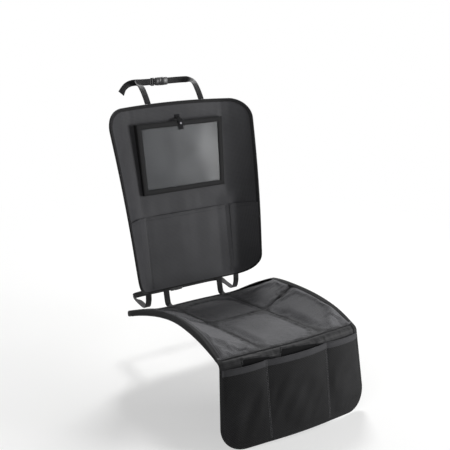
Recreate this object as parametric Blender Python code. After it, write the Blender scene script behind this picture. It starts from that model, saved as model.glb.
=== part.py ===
"""Car seat protector mat: a backrest panel with pockets, a padded cushion mat with a front flap.

Units are metres, +Z is up and -Y is the front. The origin lies on the centre line, in the
crease where the plane that carries the backrest panel meets the plane that carries the mat.
"""
import math

import bmesh
import bpy
from mathutils import Vector

# The two planes that the protector lies against
BACK_LEAN = math.radians(10.1)
SEAT_TILT = math.radians(7.8)

# Gap that touching pieces keep, and the lift of a strap that crosses a binding
TOUCH = 0.0003

# Faces that meet at less than this angle are shaded as one rounded face
SMOOTH_BELOW = math.radians(40)

# Backrest panel
PANEL_FOOT = 0.0620
PANEL_LENGTH = 0.578
PANEL_WIDTH_FOOT = 0.438
PANEL_WIDTH_TOP = 0.503
PANEL_THICK = 0.005
PANEL_CORNER_TOP = 0.068
PANEL_CORNER_FOOT = 0.064
PANEL_TOP_ARCH = 0.006
PANEL_FLAT_HALF = 0.154
SIDE_SHARES = (0.0, 0.3, 0.55, 0.8, 1.0)
PANEL_WRAP = 0.077
WRAP_FULL_BELOW = 0.200
WRAP_FADE_LENGTH = 0.620
WRAP_CURVE = 1.6
BINDING_WIDTH = 0.005
BINDING_PROUD = 0.0008
BINDING_GAP = 0.0007

# Row of pockets on the lower half of the panel
POCKET_SEAM_X = 0.143
SEAM_HALF = 0.004
POCKET_MOUTH = 0.2966
POCKET_SHEET = 0.0015
POCKET_GAPE = 0.009
POCKET_CURVE = 1.5
POCKET_SIDE_FULLNESS = 0.75

# Window pocket
WINDOW_WIDTH = 0.290
WINDOW_WIDTH_MOUTH = 0.303
WINDOW_HEIGHT = 0.220
WINDOW_BOTTOM = 0.3646
WINDOW_DEPTH = 0.007
WINDOW_DEPTH_MOUTH = 0.017
GUSSET_WALL = 0.005
FRAME_TAPE = 0.016
FRAME_THICK = 0.0013
FILM_THICK = 0.0010
TAB_WIDTH = 0.018
TAB_ABOVE = 0.020
TAB_BELOW = 0.028
TAB_THICK = 0.0014
SNAP_RADIUS = 0.0045
SNAP_SIDES = 16
SNAP_HEIGHT = 0.0020

# Cushion mat
MAT_REAR = 0.018
MAT_FRONT = 0.555
MAT_BASE = 0.004
MAT_HALF_FRONT = 0.221
MAT_HALF_REAR = 0.285
MAT_FLARE_START = 0.330
MAT_CORNER = 0.055
MAT_REAR_BOW = 0.022
MAT_FRONT_BOW = 0.025
BOLSTER_RISE = 0.047
BOLSTER_PEAK = 0.270
BOLSTER_SPAN = 0.245
BOLSTER_SPAN_REAR = 0.270
BOLSTER_LEVEL = 0.002
BOLSTER_CURVE = 1.25
GROOVE_X = 0.098
GROOVE_HALF = 0.004
EDGE_MARGIN = 0.006
REAR_HEM = 0.026
FRONT_HEM = 0.004
CROSS_SEAM = 0.267
CROSS_SEAM_SWEEP = 0.025
PAD_CENTRE = 0.014
PAD_SIDE = 0.017
PAD_OUTER_FULLNESS = 0.46
EDGE_STAND = 0.010
PAD_EDGE = 0.004
PAD_ROUND_ACROSS = 2.6
PAD_ROUND_ALONG = 3.4
PAD_CROWN = 0.55

# Front flap and its mesh pockets
ROLL_RADIUS = 0.013
FLAP_LEAN = math.radians(9.0)
FLAP_DROP = 0.228
FLAP_THICK = 0.0025
FLAP_FLARE = 0.015
FLAP_CORNER = 0.065
HEM_TOP = 0.002
HEM_HEIGHT = 0.020
HEM_THICK = 0.002
MESH_THICK = 0.0012
FLAP_GAPE = 0.009

# Webbing, anchor patches and buckles
WEBBING_WIDTH = 0.020
WEBBING_THICK = 0.0015
TOP_STRAP_X = 0.094
POST_BACK = 0.092
POST_RISE = 0.057
TOP_STRAP_ARC = ((0.22, 0.50), (0.50, 0.92))
TOP_STRAP_TURN = 0.015
CONNECTOR_X = 0.098
CONNECTOR_LAP = 0.018
CONNECTOR_BEND = 0.015
PATCH_LENGTH = 0.013
PATCH_WIDTH = 0.026
PATCH_THICK = 0.0015
LOWER_STRAP_X = 0.162
LOWER_STRAP_DIP = 0.0006
LOWER_LOOP_Y = 0.128
LOWER_LOOP_Z = 0.004
LOWER_BEND = 0.016
LOWER_TURN = 0.018
BUCKLE_LENGTH = 0.046
BUCKLE_WIDTH = 0.026
BUCKLE_THICK = 0.009
BUCKLE_WALL = 0.0022
BUCKLE_CLEAR = 0.0006
SLIDER_LENGTH = 0.016
SLIDER_BAR = 0.0030
TAIL_LENGTH = 0.124
TAIL_PATH = ((0.0, 0.0, 0.0, 0.0), (0.30, 0.02, 0.0, 0.0), (0.62, 0.03, 0.0, 0.0),
             (0.84, -0.04, -0.07, -0.5), (1.0, -0.15, -0.21, -1.2))

BLACK_FABRIC = (0.055, 0.055, 0.058, 1.0)
DARK_TAPE = (0.012, 0.012, 0.013, 1.0)
PAD_FABRIC = (0.085, 0.085, 0.088, 1.0)
MESH_BLACK = (0.020, 0.020, 0.021, 1.0)
CLEAR_FILM = (0.55, 0.57, 0.58, 1.0)
BLACK_PLASTIC = (0.015, 0.015, 0.016, 1.0)
SNAP_METAL = (0.60, 0.60, 0.58, 1.0)


def clear_scene():
    """Take every object out of the open scene."""
    for obj in list(bpy.data.objects):
        bpy.data.objects.remove(obj, do_unlink=True)


def make_material(name, colour, roughness, metallic=0.0):
    """Return a plain material of the given colour."""
    material = bpy.data.materials.new(name)
    material.use_nodes = True
    shader = material.node_tree.nodes["Principled BSDF"]
    shader.inputs["Base Color"].default_value = colour
    shader.inputs["Roughness"].default_value = roughness
    shader.inputs["Metallic"].default_value = metallic
    material.diffuse_color = colour
    return material


def finish_object(name, bm, material):
    """Turn a closed mesh into a named object with smooth rounded faces."""
    bmesh.ops.recalc_face_normals(bm, faces=bm.faces)
    mesh = bpy.data.meshes.new(name)
    bm.to_mesh(mesh)
    bm.free()
    mesh.shade_smooth()
    mesh.set_sharp_from_angle(angle=SMOOTH_BELOW)
    mesh.materials.append(material)
    obj = bpy.data.objects.new(name, mesh)
    bpy.context.collection.objects.link(obj)
    return obj


def split_quad(bm, a, b, c, d):
    """Add a four-cornered face as two triangles, mirrored left to right."""
    if a.co.x + b.co.x + c.co.x + d.co.x < -1e-6:
        bm.faces.new((a, b, d))
        bm.faces.new((b, c, d))
    else:
        bm.faces.new((a, b, c))
        bm.faces.new((a, c, d))


def wall_faces(bm, low_a, high_a, low_b, high_b):
    """Add the two triangles of a wall between two stations, cut the same way on both its sides."""
    def rank(low, high):
        place = low.co + high.co
        return abs(place.x) + 0.7 * place.z - 0.4 * place.y

    if rank(low_a, high_a) > rank(low_b, high_b):
        bm.faces.new((low_a, low_b, high_b))
        bm.faces.new((low_a, high_b, high_a))
    else:
        bm.faces.new((low_a, low_b, high_a))
        bm.faces.new((low_b, high_b, high_a))


def sheet_solid(name, lower, upper, material):
    """Close the space between two grids of points that have the same rows and columns."""
    bm = bmesh.new()
    low = [[bm.verts.new(p) for p in row] for row in lower]
    high = [[bm.verts.new(p) for p in row] for row in upper]
    rows = len(low) - 1
    cols = len(low[0]) - 1
    for grid in (low, high):
        for k in range(rows):
            for i in range(cols):
                split_quad(bm, grid[k][i], grid[k][i + 1], grid[k + 1][i + 1], grid[k + 1][i])
    rim = [(0, i) for i in range(cols)]
    rim += [(k, cols) for k in range(rows)]
    rim += [(rows, i) for i in range(cols, 0, -1)]
    rim += [(k, 0) for k in range(rows, 0, -1)]
    for here, there in zip(rim, rim[1:] + rim[:1]):
        wall_faces(bm, low[here[0]][here[1]], high[here[0]][here[1]],
                   low[there[0]][there[1]], high[there[0]][there[1]])
    return finish_object(name, bm, material)


def loft_solid(name, sections, material, closed=False):
    """Skin a row of cross-sections, with flat ends unless the row closes on itself."""
    bm = bmesh.new()
    rings = [[bm.verts.new(p) for p in section] for section in sections]
    count = len(rings[0])
    pairs = list(zip(rings, rings[1:]))
    if closed:
        pairs.append((rings[-1], rings[0]))
    for near, far in pairs:
        for i in range(count):
            j = (i + 1) % count
            split_quad(bm, near[i], near[j], far[j], far[i])
    if not closed:
        bm.faces.new(rings[0])
        bm.faces.new(rings[-1])
    return finish_object(name, bm, material)


def prism(name, outline, low, high, frame, material):
    """Extrude a flat outline between two heights over the plane that the frame maps."""
    bottom = [frame(a, b, low) for a, b in outline]
    top = [frame(a, b, high) for a, b in outline]
    return loft_solid(name, [bottom, top], material)


def offset_grid(points, normals, amount):
    """Move each point of a grid along its normal by a number or by a grid of numbers."""
    moved = []
    for k, row in enumerate(points):
        height = amount[k] if isinstance(amount, list) else [amount] * len(row)
        moved.append([p + normals[k][i] * height[i] for i, p in enumerate(row)])
    return moved


def crop(grid, rows, cols):
    """Return the part of a grid between two rows and two columns, ends included."""
    return [row[cols[0]:cols[1] + 1] for row in grid[rows[0]:rows[1] + 1]]


def edge_ring(name, rim, low, width, material):
    """Sweep a flat tape round a rim, which lists each point, the sheet's normal and the tape's top."""
    sections = []
    count = len(rim)
    for j, (point, normal, high) in enumerate(rim):
        along = (rim[(j + 1) % count][0] - rim[j - 1][0]).normalized()
        outward = along.cross(normal).normalized()
        inner = point + outward * BINDING_GAP
        outer = point + outward * (BINDING_GAP + width)
        sections.append([inner + normal * low, outer + normal * low,
                         outer + normal * high, inner + normal * high])
    bm = bmesh.new()
    rings = [[bm.verts.new(p) for p in section] for section in sections]
    for near, far in zip(rings, rings[1:] + rings[:1]):
        wall_faces(bm, near[0], near[3], far[0], far[3])
        wall_faces(bm, near[1], near[2], far[1], far[2])
        split_quad(bm, near[0], near[1], far[1], far[0])
        split_quad(bm, near[3], near[2], far[2], far[3])
    return finish_object(name, bm, material)


def quarter(steps):
    """Return evenly spaced angles from a quarter turn down to zero."""
    return [math.pi / 2 * (1 - n / steps) for n in range(steps + 1)]


# Backrest panel


def panel_point(x, h, d):
    """Place a point by its side position, its height up the backrest and its lift off it."""
    up = Vector((0, math.sin(BACK_LEAN), math.cos(BACK_LEAN)))
    out = Vector((0, -math.cos(BACK_LEAN), math.sin(BACK_LEAN)))
    return Vector((x, 0, 0)) + up * h + out * d


def panel_half(h):
    """Return half the panel's width at a height, with its corners square."""
    share = (h - PANEL_FOOT) / PANEL_LENGTH
    return (PANEL_WIDTH_FOOT + share * (PANEL_WIDTH_TOP - PANEL_WIDTH_FOOT)) / 2


def panel_rows():
    """List the panel's rows as height and half width, from its foot to its top."""
    top = PANEL_FOOT + PANEL_LENGTH
    rows = []
    for angle in quarter(3):
        h = PANEL_FOOT + PANEL_CORNER_FOOT * (1 - math.sin(angle))
        rows.append((h, panel_half(h) - PANEL_CORNER_FOOT * (1 - math.cos(angle))))
    first = PANEL_FOOT + PANEL_CORNER_FOOT
    last = top - PANEL_CORNER_TOP
    for n in range(1, 4):
        h = first + (POCKET_MOUTH - first) * n / 3
        rows.append((h, panel_half(h)))
    for n in range(1, 4):
        h = POCKET_MOUTH + (last - POCKET_MOUTH) * n / 4
        rows.append((h, panel_half(h)))
    for angle in reversed(quarter(3)):
        h = top - PANEL_CORNER_TOP * (1 - math.sin(angle))
        rows.append((h, panel_half(h) - PANEL_CORNER_TOP * (1 - math.cos(angle))))
    return rows


def panel_columns(half):
    """List the side positions of the panel's columns for a row of the given half width."""
    seam_in = POCKET_SEAM_X - SEAM_HALF
    seam_out = POCKET_SEAM_X + SEAM_HALF
    flat = max(PANEL_FLAT_HALF, seam_out + TOUCH)
    right = [seam_in / 2, seam_in, seam_out]
    right += [flat + (half - flat) * t for t in SIDE_SHARES]
    return [-x for x in reversed(right)] + [0.0] + right


def panel_wrap(x, h):
    """Return how far the panel curls forward at a place near its sides."""
    fade = max(0.0, (h - WRAP_FULL_BELOW) / WRAP_FADE_LENGTH)
    depth = PANEL_WRAP * (1 - fade ** 2)
    flat = max(PANEL_FLAT_HALF, POCKET_SEAM_X + SEAM_HALF + TOUCH)
    share = max(0.0, abs(x) - flat) / (panel_half(h) - flat)
    return depth * share ** WRAP_CURVE


def surface_grid(place, spots, side):
    """Place a grid of spots on a surface, with the unit normal on the side that the sign picks."""
    step = 0.0005
    points, normals = [], []
    for row in spots:
        points.append([place(a, b) for a, b in row])
        line = []
        for a, b in row:
            across = place(a + step, b) - place(a - step, b)
            along = place(a, b + step) - place(a, b - step)
            line.append(across.cross(along).normalized() * side)
        normals.append(line)
    return points, normals


def panel_place(x, h):
    """Place a point on the panel's rear face."""
    return panel_point(x, h, panel_wrap(x, h))


def panel_surface():
    """Return the grid of the panel's rear face, its normals, and the row of the pocket mouth."""
    top = PANEL_FOOT + PANEL_LENGTH
    rows = panel_rows()
    spots = []
    for h, half in rows:
        high = max(0.0, (h - POCKET_MOUTH) / (top - POCKET_MOUTH)) ** 4
        spots.append([(x, h - PANEL_TOP_ARCH * high * (x / half) ** 2) for x in panel_columns(half)])
    points, normals = surface_grid(panel_place, spots, 1)
    mouth = [round(h, 6) for h, half in rows].index(round(POCKET_MOUTH, 6))
    return points, normals, mouth


def grid_rim(points, normals, high):
    """List the rim of a grid, anticlockwise as seen from the side its normals point to."""
    rows, cols = len(points) - 1, len(points[0]) - 1
    walk = [(0, i) for i in range(cols)]
    walk += [(k, cols) for k in range(rows)]
    walk += [(rows, i) for i in range(cols, 0, -1)]
    walk += [(k, 0) for k in range(rows, 0, -1)]
    return [(points[k][i], normals[k][i], high) for k, i in walk]


def build_panel(mats):
    """Make the panel, its edge binding and the row of pockets sewn on its lower half."""
    points, normals, mouth = panel_surface()
    sheet_solid("back_panel", points, offset_grid(points, normals, PANEL_THICK), mats["panel"])
    edge_ring("back_panel_binding", grid_rim(points, normals, PANEL_THICK + BINDING_PROUD),
              -BINDING_PROUD, BINDING_WIDTH, mats["tape"])
    cols = len(points[0]) - 1
    centre = cols // 2
    bulge = []
    for k in range(mouth + 1):
        share = math.sin(math.pi / 2 * k / mouth) ** POCKET_CURVE
        line = []
        for i in range(cols + 1):
            away = abs(i - centre)
            sewn = away in (2, 3) or i in (0, cols)
            beside = away in (4, centre - 1)
            width = 0.0 if sewn else (POCKET_SIDE_FULLNESS if beside else 1.0)
            line.append(PANEL_THICK + TOUCH + POCKET_GAPE * share * width)
        bulge.append(line)
    outer = [[value + POCKET_SHEET for value in line] for line in bulge]
    part, lean = crop(points, (0, mouth), (0, cols)), crop(normals, (0, mouth), (0, cols))
    sheet_solid("lower_pockets", offset_grid(part, lean, bulge),
                offset_grid(part, lean, outer), mats["panel"])


# Window pocket


def rectangle(x0, x1, y0, y1):
    """Return the corners of a rectangle."""
    return [(x0, y0), (x1, y0), (x1, y1), (x0, y1)]


def flat_ring(name, outer, inner, low, high, frame, material):
    """Make a flat frame between two rectangles."""
    sections = []
    for (a, b), (c, d) in zip(outer, inner):
        sections.append([frame(a, b, low), frame(a, b, high), frame(c, d, high), frame(c, d, low)])
    return loft_solid(name, sections, material, closed=True)


def window_place(a, b, d):
    """Place a point by its side position, its height and its lift off the window's slanted face."""
    share = (b - WINDOW_BOTTOM) / WINDOW_HEIGHT
    widen = 1 + (WINDOW_WIDTH_MOUTH / WINDOW_WIDTH - 1) * share
    depth = WINDOW_DEPTH + (WINDOW_DEPTH_MOUTH - WINDOW_DEPTH) * share
    return panel_point(a * widen, b, PANEL_THICK + TOUCH + depth + d)


def on_panel(a, b):
    """Place a point of the window's outline down on the face of the panel."""
    point = window_place(a, b, 0.0)
    return panel_point(point.x, b, PANEL_THICK + TOUCH)


def gusset(name, outline, mats):
    """Make one wall of the window pocket, from the panel up to the film."""
    loft_solid(name, [[on_panel(a, b) for a, b in outline],
                      [window_place(a, b, 0.0) for a, b in outline]], mats["tape"])


def build_window(mats):
    """Make the clear pocket: its gusset, the film, the tape frame, the tab and its snap."""
    half = WINDOW_WIDTH / 2
    bottom, top = WINDOW_BOTTOM, WINDOW_BOTTOM + WINDOW_HEIGHT
    inner = half - GUSSET_WALL
    floor = bottom + GUSSET_WALL
    gusset("window_gusset_left", rectangle(-half, -inner, floor + TOUCH, top), mats)
    gusset("window_gusset_right", rectangle(inner, half, floor + TOUCH, top), mats)
    gusset("window_gusset_bottom", rectangle(-half, half, bottom, floor), mats)
    film_high = TOUCH + FILM_THICK
    prism("window_film", rectangle(-half, half, bottom, top), TOUCH, film_high,
          window_place, mats["film"])
    opening = half - FRAME_TAPE
    frame_high = film_high + TOUCH + FRAME_THICK
    flat_ring("window_frame", rectangle(-half, half, bottom, top),
              rectangle(-opening, opening, bottom + FRAME_TAPE, top - FRAME_TAPE),
              film_high + TOUCH, frame_high, window_place, mats["tape"])
    build_window_tab(top, frame_high + TOUCH, mats)


def build_window_tab(top, low, mats):
    """Make the tab that closes the window pocket's mouth, and the snap that holds it."""
    high = low + TAB_THICK
    base = PANEL_THICK + TOUCH
    sections = []
    for h in (top + TAB_ABOVE, top + TAB_ABOVE / 2):
        sections.append([panel_point(-TAB_WIDTH / 2, h, base), panel_point(TAB_WIDTH / 2, h, base),
                         panel_point(TAB_WIDTH / 2, h, base + TAB_THICK),
                         panel_point(-TAB_WIDTH / 2, h, base + TAB_THICK)])
    for h in (top + TAB_THICK, top - TAB_BELOW):
        sections.append([window_place(-TAB_WIDTH / 2, h, low), window_place(TAB_WIDTH / 2, h, low),
                         window_place(TAB_WIDTH / 2, h, high), window_place(-TAB_WIDTH / 2, h, high)])
    loft_solid("window_tab", sections, mats["tape"])
    snap = []
    for n in range(SNAP_SIDES):
        angle = 2 * math.pi * n / SNAP_SIDES
        snap.append((SNAP_RADIUS * math.cos(angle),
                     top - FRAME_TAPE / 2 + SNAP_RADIUS * math.sin(angle)))
    prism("window_snap", snap, high + TOUCH, high + TOUCH + SNAP_HEIGHT, window_place, mats["metal"])


# Cushion mat


def mat_plane(x, s, lift):
    """Place a point by its side position, its distance forward and its height off the seat plane."""
    forward = Vector((0, -math.cos(SEAT_TILT), math.sin(SEAT_TILT)))
    up = Vector((0, math.sin(SEAT_TILT), math.cos(SEAT_TILT)))
    return Vector((x, 0, 0)) + forward * s + up * lift


def mat_half(s):
    """Return half the mat's width, with its rear corners square."""
    share = max(0.0, (MAT_FLARE_START - s) / (MAT_FLARE_START - MAT_REAR))
    return MAT_HALF_FRONT + (MAT_HALF_REAR - MAT_HALF_FRONT) * share ** 2


def mat_columns(half):
    """List the side positions of the mat's columns for a row of the given half width."""
    inside, outside = GROOVE_X - GROOVE_HALF, GROOVE_X + GROOVE_HALF
    pad_edge = half - EDGE_MARGIN
    right = [inside / 3, inside * 2 / 3, inside]
    right += [outside + (pad_edge - outside) * t for t in SIDE_SHARES]
    right.append(half)
    return [-x for x in reversed(right)] + [0.0] + right


def mat_rows():
    """List the mat's rows: distance forward on the centre line, sweep at the sides, half width."""
    rear = MAT_REAR + MAT_REAR_BOW
    rows = []
    for n, angle in enumerate(quarter(4)):
        s = rear + MAT_CORNER * (1 - math.sin(angle))
        half = mat_half(s) - MAT_CORNER * (1 - math.cos(angle))
        start = MAT_REAR + (s - rear) + (REAR_HEM if n else 0.0) * (1 - n / 4)
        rows.append((start, s - start, half))
    before = CROSS_SEAM - GROOVE_HALF
    first = rows[-1][0]
    for n in (1, 2):
        share = n / 3
        s = first + (before - first) * share
        sweep = rows[4][1] * (1 - share) - CROSS_SEAM_SWEEP * share
        rows.append((s, sweep, mat_half(s + sweep)))
    for s in (before, CROSS_SEAM + GROOVE_HALF):
        rows.append((s, -CROSS_SEAM_SWEEP, mat_half(s - CROSS_SEAM_SWEEP)))
    start = CROSS_SEAM + GROOVE_HALF
    end = MAT_FRONT - FRONT_HEM
    for n in range(1, 7):
        share = n / 6
        sweep = -CROSS_SEAM_SWEEP * (1 - share) - MAT_FRONT_BOW * share
        s = start + (end - start) * share
        rows.append((s, sweep, mat_half(s + sweep)))
    rows.append((MAT_FRONT, -MAT_FRONT_BOW, mat_half(MAT_FRONT - MAT_FRONT_BOW)))
    return rows


def bolster(x, s):
    """Return how far the mat rises over the cushion's raised sides and droops at its front."""
    inside = GROOVE_X + GROOVE_HALF
    share = max(0.0, abs(x) - inside) / (mat_half(s) - inside)
    s = min(s, MAT_FRONT - MAT_FRONT_BOW - BOLSTER_LEVEL)
    span = BOLSTER_SPAN if s > BOLSTER_PEAK else BOLSTER_SPAN_REAR
    along = 1 - ((s - BOLSTER_PEAK) / span) ** 2
    return BOLSTER_RISE * along * share ** BOLSTER_CURVE


def mat_place(x, s):
    """Place a point on the mat's underside."""
    return mat_plane(x, s, bolster(x, s))


def mat_surface():
    """Return the grid of the mat's underside and its normals."""
    spots = []
    for start, sweep, half in mat_rows():
        spots.append([(x, start + sweep * (x / half) ** 2) for x in mat_columns(half)])
    return surface_grid(mat_place, spots, -1)


def crown(a, b, outer):
    """Return the fullness of a pad from its edges to its middle; outer is that of its far side."""
    across = 1 - abs(2 * a - 1) ** PAD_ROUND_ACROSS * (1 - outer if a > 0.5 else 1)
    along = 1 - abs(2 * b - 1) ** PAD_ROUND_ALONG
    return (max(0.0, across) * max(0.0, along)) ** PAD_CROWN


def build_pad(name, points, normals, rows, cols, shape, material):
    """Make one quilted pad on the backing; its shape is its height and its far side's fullness."""
    height, outer = shape
    part, lean = crop(points, rows, cols), crop(normals, rows, cols)
    last_row, last_col = len(part) - 1, len(part[0]) - 1
    middle = last_col // 2
    steps = [(part[n + 1][middle] - part[n][middle]).length for n in range(last_row)]
    top = []
    for k, line in enumerate(part):
        span = (line[-1] - line[0]).length
        heights = []
        for i in range(last_col + 1):
            a = (line[i] - line[0]).length / span
            a = a if line[-1].x > 0 else 1 - a
            full = crown(a, sum(steps[:k]) / sum(steps), outer)
            heights.append(MAT_BASE + TOUCH + PAD_EDGE + (height - PAD_EDGE) * full)
        top.append(heights)
    sheet_solid(name, offset_grid(part, lean, MAT_BASE + TOUCH), offset_grid(part, lean, top),
                material)


def build_mat(mats):
    """Make the mat's backing and its six pads."""
    points, normals = mat_surface()
    sheet_solid("mat_backing", points, offset_grid(points, normals, MAT_BASE), mats["backing"])
    last = len(points[0]) - 1
    middle = last // 2
    bands = {"left": (1, 5), "centre": (middle - 3, middle + 3), "right": (last - 5, last - 1)}
    spans = {"rear": (1, 7), "front": (8, len(points) - 2)}
    for side, cols in bands.items():
        for place, rows in spans.items():
            height = PAD_CENTRE if side == "centre" else PAD_SIDE
            outer = 0.0 if side == "centre" else PAD_OUTER_FULLNESS
            build_pad("pad_" + side + "_" + place, points, normals, rows, cols, (height, outer),
                      mats["pad"])


# Front flap


def roll_length():
    """Return the length of cloth on the roll over the cushion's front edge."""
    return ROLL_RADIUS * (SEAT_TILT + math.pi / 2 - FLAP_LEAN)


def flap_place(x, run):
    """Place a point on the flap's rear face by the length of cloth from the mat's front edge."""
    half = mat_half(MAT_FRONT - MAT_FRONT_BOW)
    front = MAT_FRONT - MAT_FRONT_BOW * (x / half) ** 2
    edge = mat_plane(x, front + TOUCH, bolster(x, front))
    slope = SEAT_TILT - min(run, roll_length()) / ROLL_RADIUS
    drop = max(0.0, run - roll_length())
    y = edge.y - ROLL_RADIUS * (math.sin(SEAT_TILT) - math.sin(slope))
    z = edge.z + ROLL_RADIUS * (math.cos(slope) - math.cos(SEAT_TILT))
    return Vector((x, y - math.cos(slope) * drop, z + math.sin(slope) * drop))


def flap_rows():
    """List the flap's rows: drop below the roll, negative on the roll itself, and half width."""
    half = mat_half(MAT_FRONT - MAT_FRONT_BOW)
    rows = [(roll_length() * (n / 4 - 1), half) for n in range(4)]
    stops = [HEM_TOP, HEM_TOP + HEM_HEIGHT, HEM_TOP + HEM_HEIGHT + TOUCH]
    first, last = stops[-1], FLAP_DROP - FLAP_CORNER
    stops += [first + (last - first) * n / 4 for n in range(1, 4)]
    for drop in stops:
        rows.append((drop, half + FLAP_FLARE * drop / FLAP_DROP))
    for angle in reversed(quarter(4)):
        drop = FLAP_DROP - FLAP_CORNER * (1 - math.sin(angle))
        square = half + FLAP_FLARE * drop / FLAP_DROP
        rows.append((drop, square - FLAP_CORNER * (1 - math.cos(angle))))
    return rows


def flap_surface():
    """Return the grid of the flap's rear face and its normals."""
    spots = [[(x, drop + roll_length()) for x in mat_columns(half)] for drop, half in flap_rows()]
    return surface_grid(flap_place, spots, -1)


def mouth_bulge(points, normals, rows, base):
    """Return how far the mesh pockets stand off the flap over the given rows."""
    last = len(points[0]) - 1
    middle = last // 2
    drops = [row[0] for row in flap_rows()]
    heights = []
    for k in range(rows[0], rows[1] + 1):
        share = max(0.0, 1 - drops[k] / (FLAP_DROP - FLAP_CORNER / 2)) ** 0.8
        line = []
        for i in range(last + 1):
            away = abs(i - middle)
            if away in (3, 4) or away >= middle - 1:
                fullness = 0.0
            elif away in (2, 5, middle - 2):
                fullness = POCKET_SIDE_FULLNESS
            else:
                fullness = 1.0
            line.append(base + FLAP_GAPE * share * fullness)
        heights.append(line)
    return heights


def build_flap(mats):
    """Make the flap, the hem band of its pockets and the mesh that they are cut from."""
    points, normals = flap_surface()
    last = len(points[0]) - 1
    sheet_solid("front_flap", points, offset_grid(points, normals, FLAP_THICK), mats["panel"])
    base = FLAP_THICK + TOUCH
    for name, rows, thick, material in (
            ("pocket_hem", (4, 5), HEM_THICK, mats["hem"]),
            ("mesh_pockets", (6, len(points) - 1), MESH_THICK, mats["mesh"])):
        low = mouth_bulge(points, normals, rows, base)
        high = [[value + thick for value in line] for line in low]
        part, lean = crop(points, rows, (0, last)), crop(normals, rows, (0, last))
        sheet_solid(name, offset_grid(part, lean, low), offset_grid(part, lean, high), material)


def stand(point):
    """Return how high the mat's binding stands at a point: full at the sides, low at the rear."""
    start = CONNECTOR_X + 1.5 * WEBBING_WIDTH
    share = min(1.0, max(0.0, (abs(point.x) - start) / (MAT_HALF_FRONT - start - EDGE_STAND)))
    return MAT_BASE + BINDING_PROUD + EDGE_STAND * share * share * (3 - 2 * share)


def build_mat_binding(mats):
    """Make the tape that runs round the mat and the flap in one loop."""
    mat, mat_normals = mat_surface()
    flap, flap_normals = flap_surface()
    rows, last = len(mat) - 1, len(mat[0]) - 1
    foot = len(flap) - 1
    rear = [(0, i) for i in range(last, 0, -1)]
    left = [(k, 0) for k in range(rows)]
    right = [(k, last) for k in range(rows - 1, 0, -1)]
    bottom = [(k, 0) for k in range(foot)] + [(foot, i) for i in range(last)]
    bottom += [(k, last) for k in range(foot, -1, -1)]
    thin = FLAP_THICK + BINDING_PROUD
    rim = [(mat[k][i], mat_normals[k][i], stand(mat[k][i])) for k, i in rear + left]
    rim += [(flap[k][i], flap_normals[k][i], thin) for k, i in bottom]
    rim += [(mat[k][i], mat_normals[k][i], stand(mat[k][i])) for k, i in right]
    edge_ring("mat_binding", rim, -BINDING_PROUD, BINDING_WIDTH, mats["tape"])


# Webbing and buckles


def smooth_line(stops, steps):
    """Run a smooth curve through stops, which hold a place and a width direction each."""
    line = []
    last = len(stops) - 1
    for n in range(last):
        p0, p1 = stops[max(n - 1, 0)], stops[n]
        p2, p3 = stops[n + 1], stops[min(n + 2, last)]
        for step in range(steps if n < last - 1 else steps + 1):
            t = step / steps
            pair = []
            for which in (0, 1):
                a, b, c, d = (Vector(p[which]) for p in (p0, p1, p2, p3))
                pair.append(0.5 * (2 * b + (c - a) * t + (2 * a - 5 * b + 4 * c - d) * t * t
                                   + (3 * b - 3 * c + d - a) * t * t * t))
            line.append(pair)
    return line


def webbing(name, stops, material, steps=4, width=WEBBING_WIDTH, thick=WEBBING_THICK):
    """Make a flat strap along stops, each a place and the direction of the strap's width."""
    line = smooth_line(stops, steps)
    sections = []
    for n, (place, across) in enumerate(line):
        along = (line[min(n + 1, len(line) - 1)][0] - line[max(n - 1, 0)][0]).normalized()
        side = (across - along * across.dot(along)).normalized() * width / 2
        face = along.cross(side).normalized() * thick / 2
        sections.append([place - side - face, place + side - face,
                         place + side + face, place - side + face])
    return loft_solid(name, sections, material)


def build_connectors(mats):
    """Make the two short straps that join the panel to the mat, with their sewn patches."""
    lift = MAT_BASE + BINDING_PROUD + TOUCH + WEBBING_THICK / 2
    start_h = PANEL_FOOT - BINDING_GAP - BINDING_WIDTH - TOUCH
    sweep = MAT_REAR_BOW * (CONNECTOR_X / (mat_half(MAT_REAR + MAT_REAR_BOW) - MAT_CORNER)) ** 2
    rear = MAT_REAR + sweep
    end = rear + CONNECTOR_LAP
    across = Vector((1, 0, 0))
    for side, name in ((-1, "left"), (1, "right")):
        x = side * CONNECTOR_X
        stops = [(panel_point(x, start_h, PANEL_THICK / 2), across),
                 (panel_point(x, start_h - CONNECTOR_BEND, PANEL_THICK / 2), across),
                 (panel_point(x, CONNECTOR_BEND, PANEL_THICK), across),
                 (mat_plane(x, rear - CONNECTOR_BEND * 0.7, lift + WEBBING_THICK), across),
                 (mat_plane(x, rear, lift), across),
                 (mat_plane(x, end, lift), across)]
        webbing("connector_strap_" + name, stops, mats["webbing"])
        patch_low = lift + WEBBING_THICK / 2 + TOUCH
        outline = rectangle(x - PATCH_WIDTH / 2, x + PATCH_WIDTH / 2, end - PATCH_LENGTH, end)
        prism("anchor_patch_" + name, outline, patch_low, patch_low + PATCH_THICK, mat_plane,
              mats["plastic"])


def socket_outline():
    """Return the plan of a buckle's socket as distances along and across its line."""
    half = BUCKLE_WIDTH / 2
    length = BUCKLE_LENGTH / 2
    nose = BUCKLE_WIDTH / 6
    return [(-TOUCH, -half), (nose - length, -half), (-length, nose - half),
            (-length, half - nose), (nose - length, half), (-TOUCH, half)]


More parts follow.
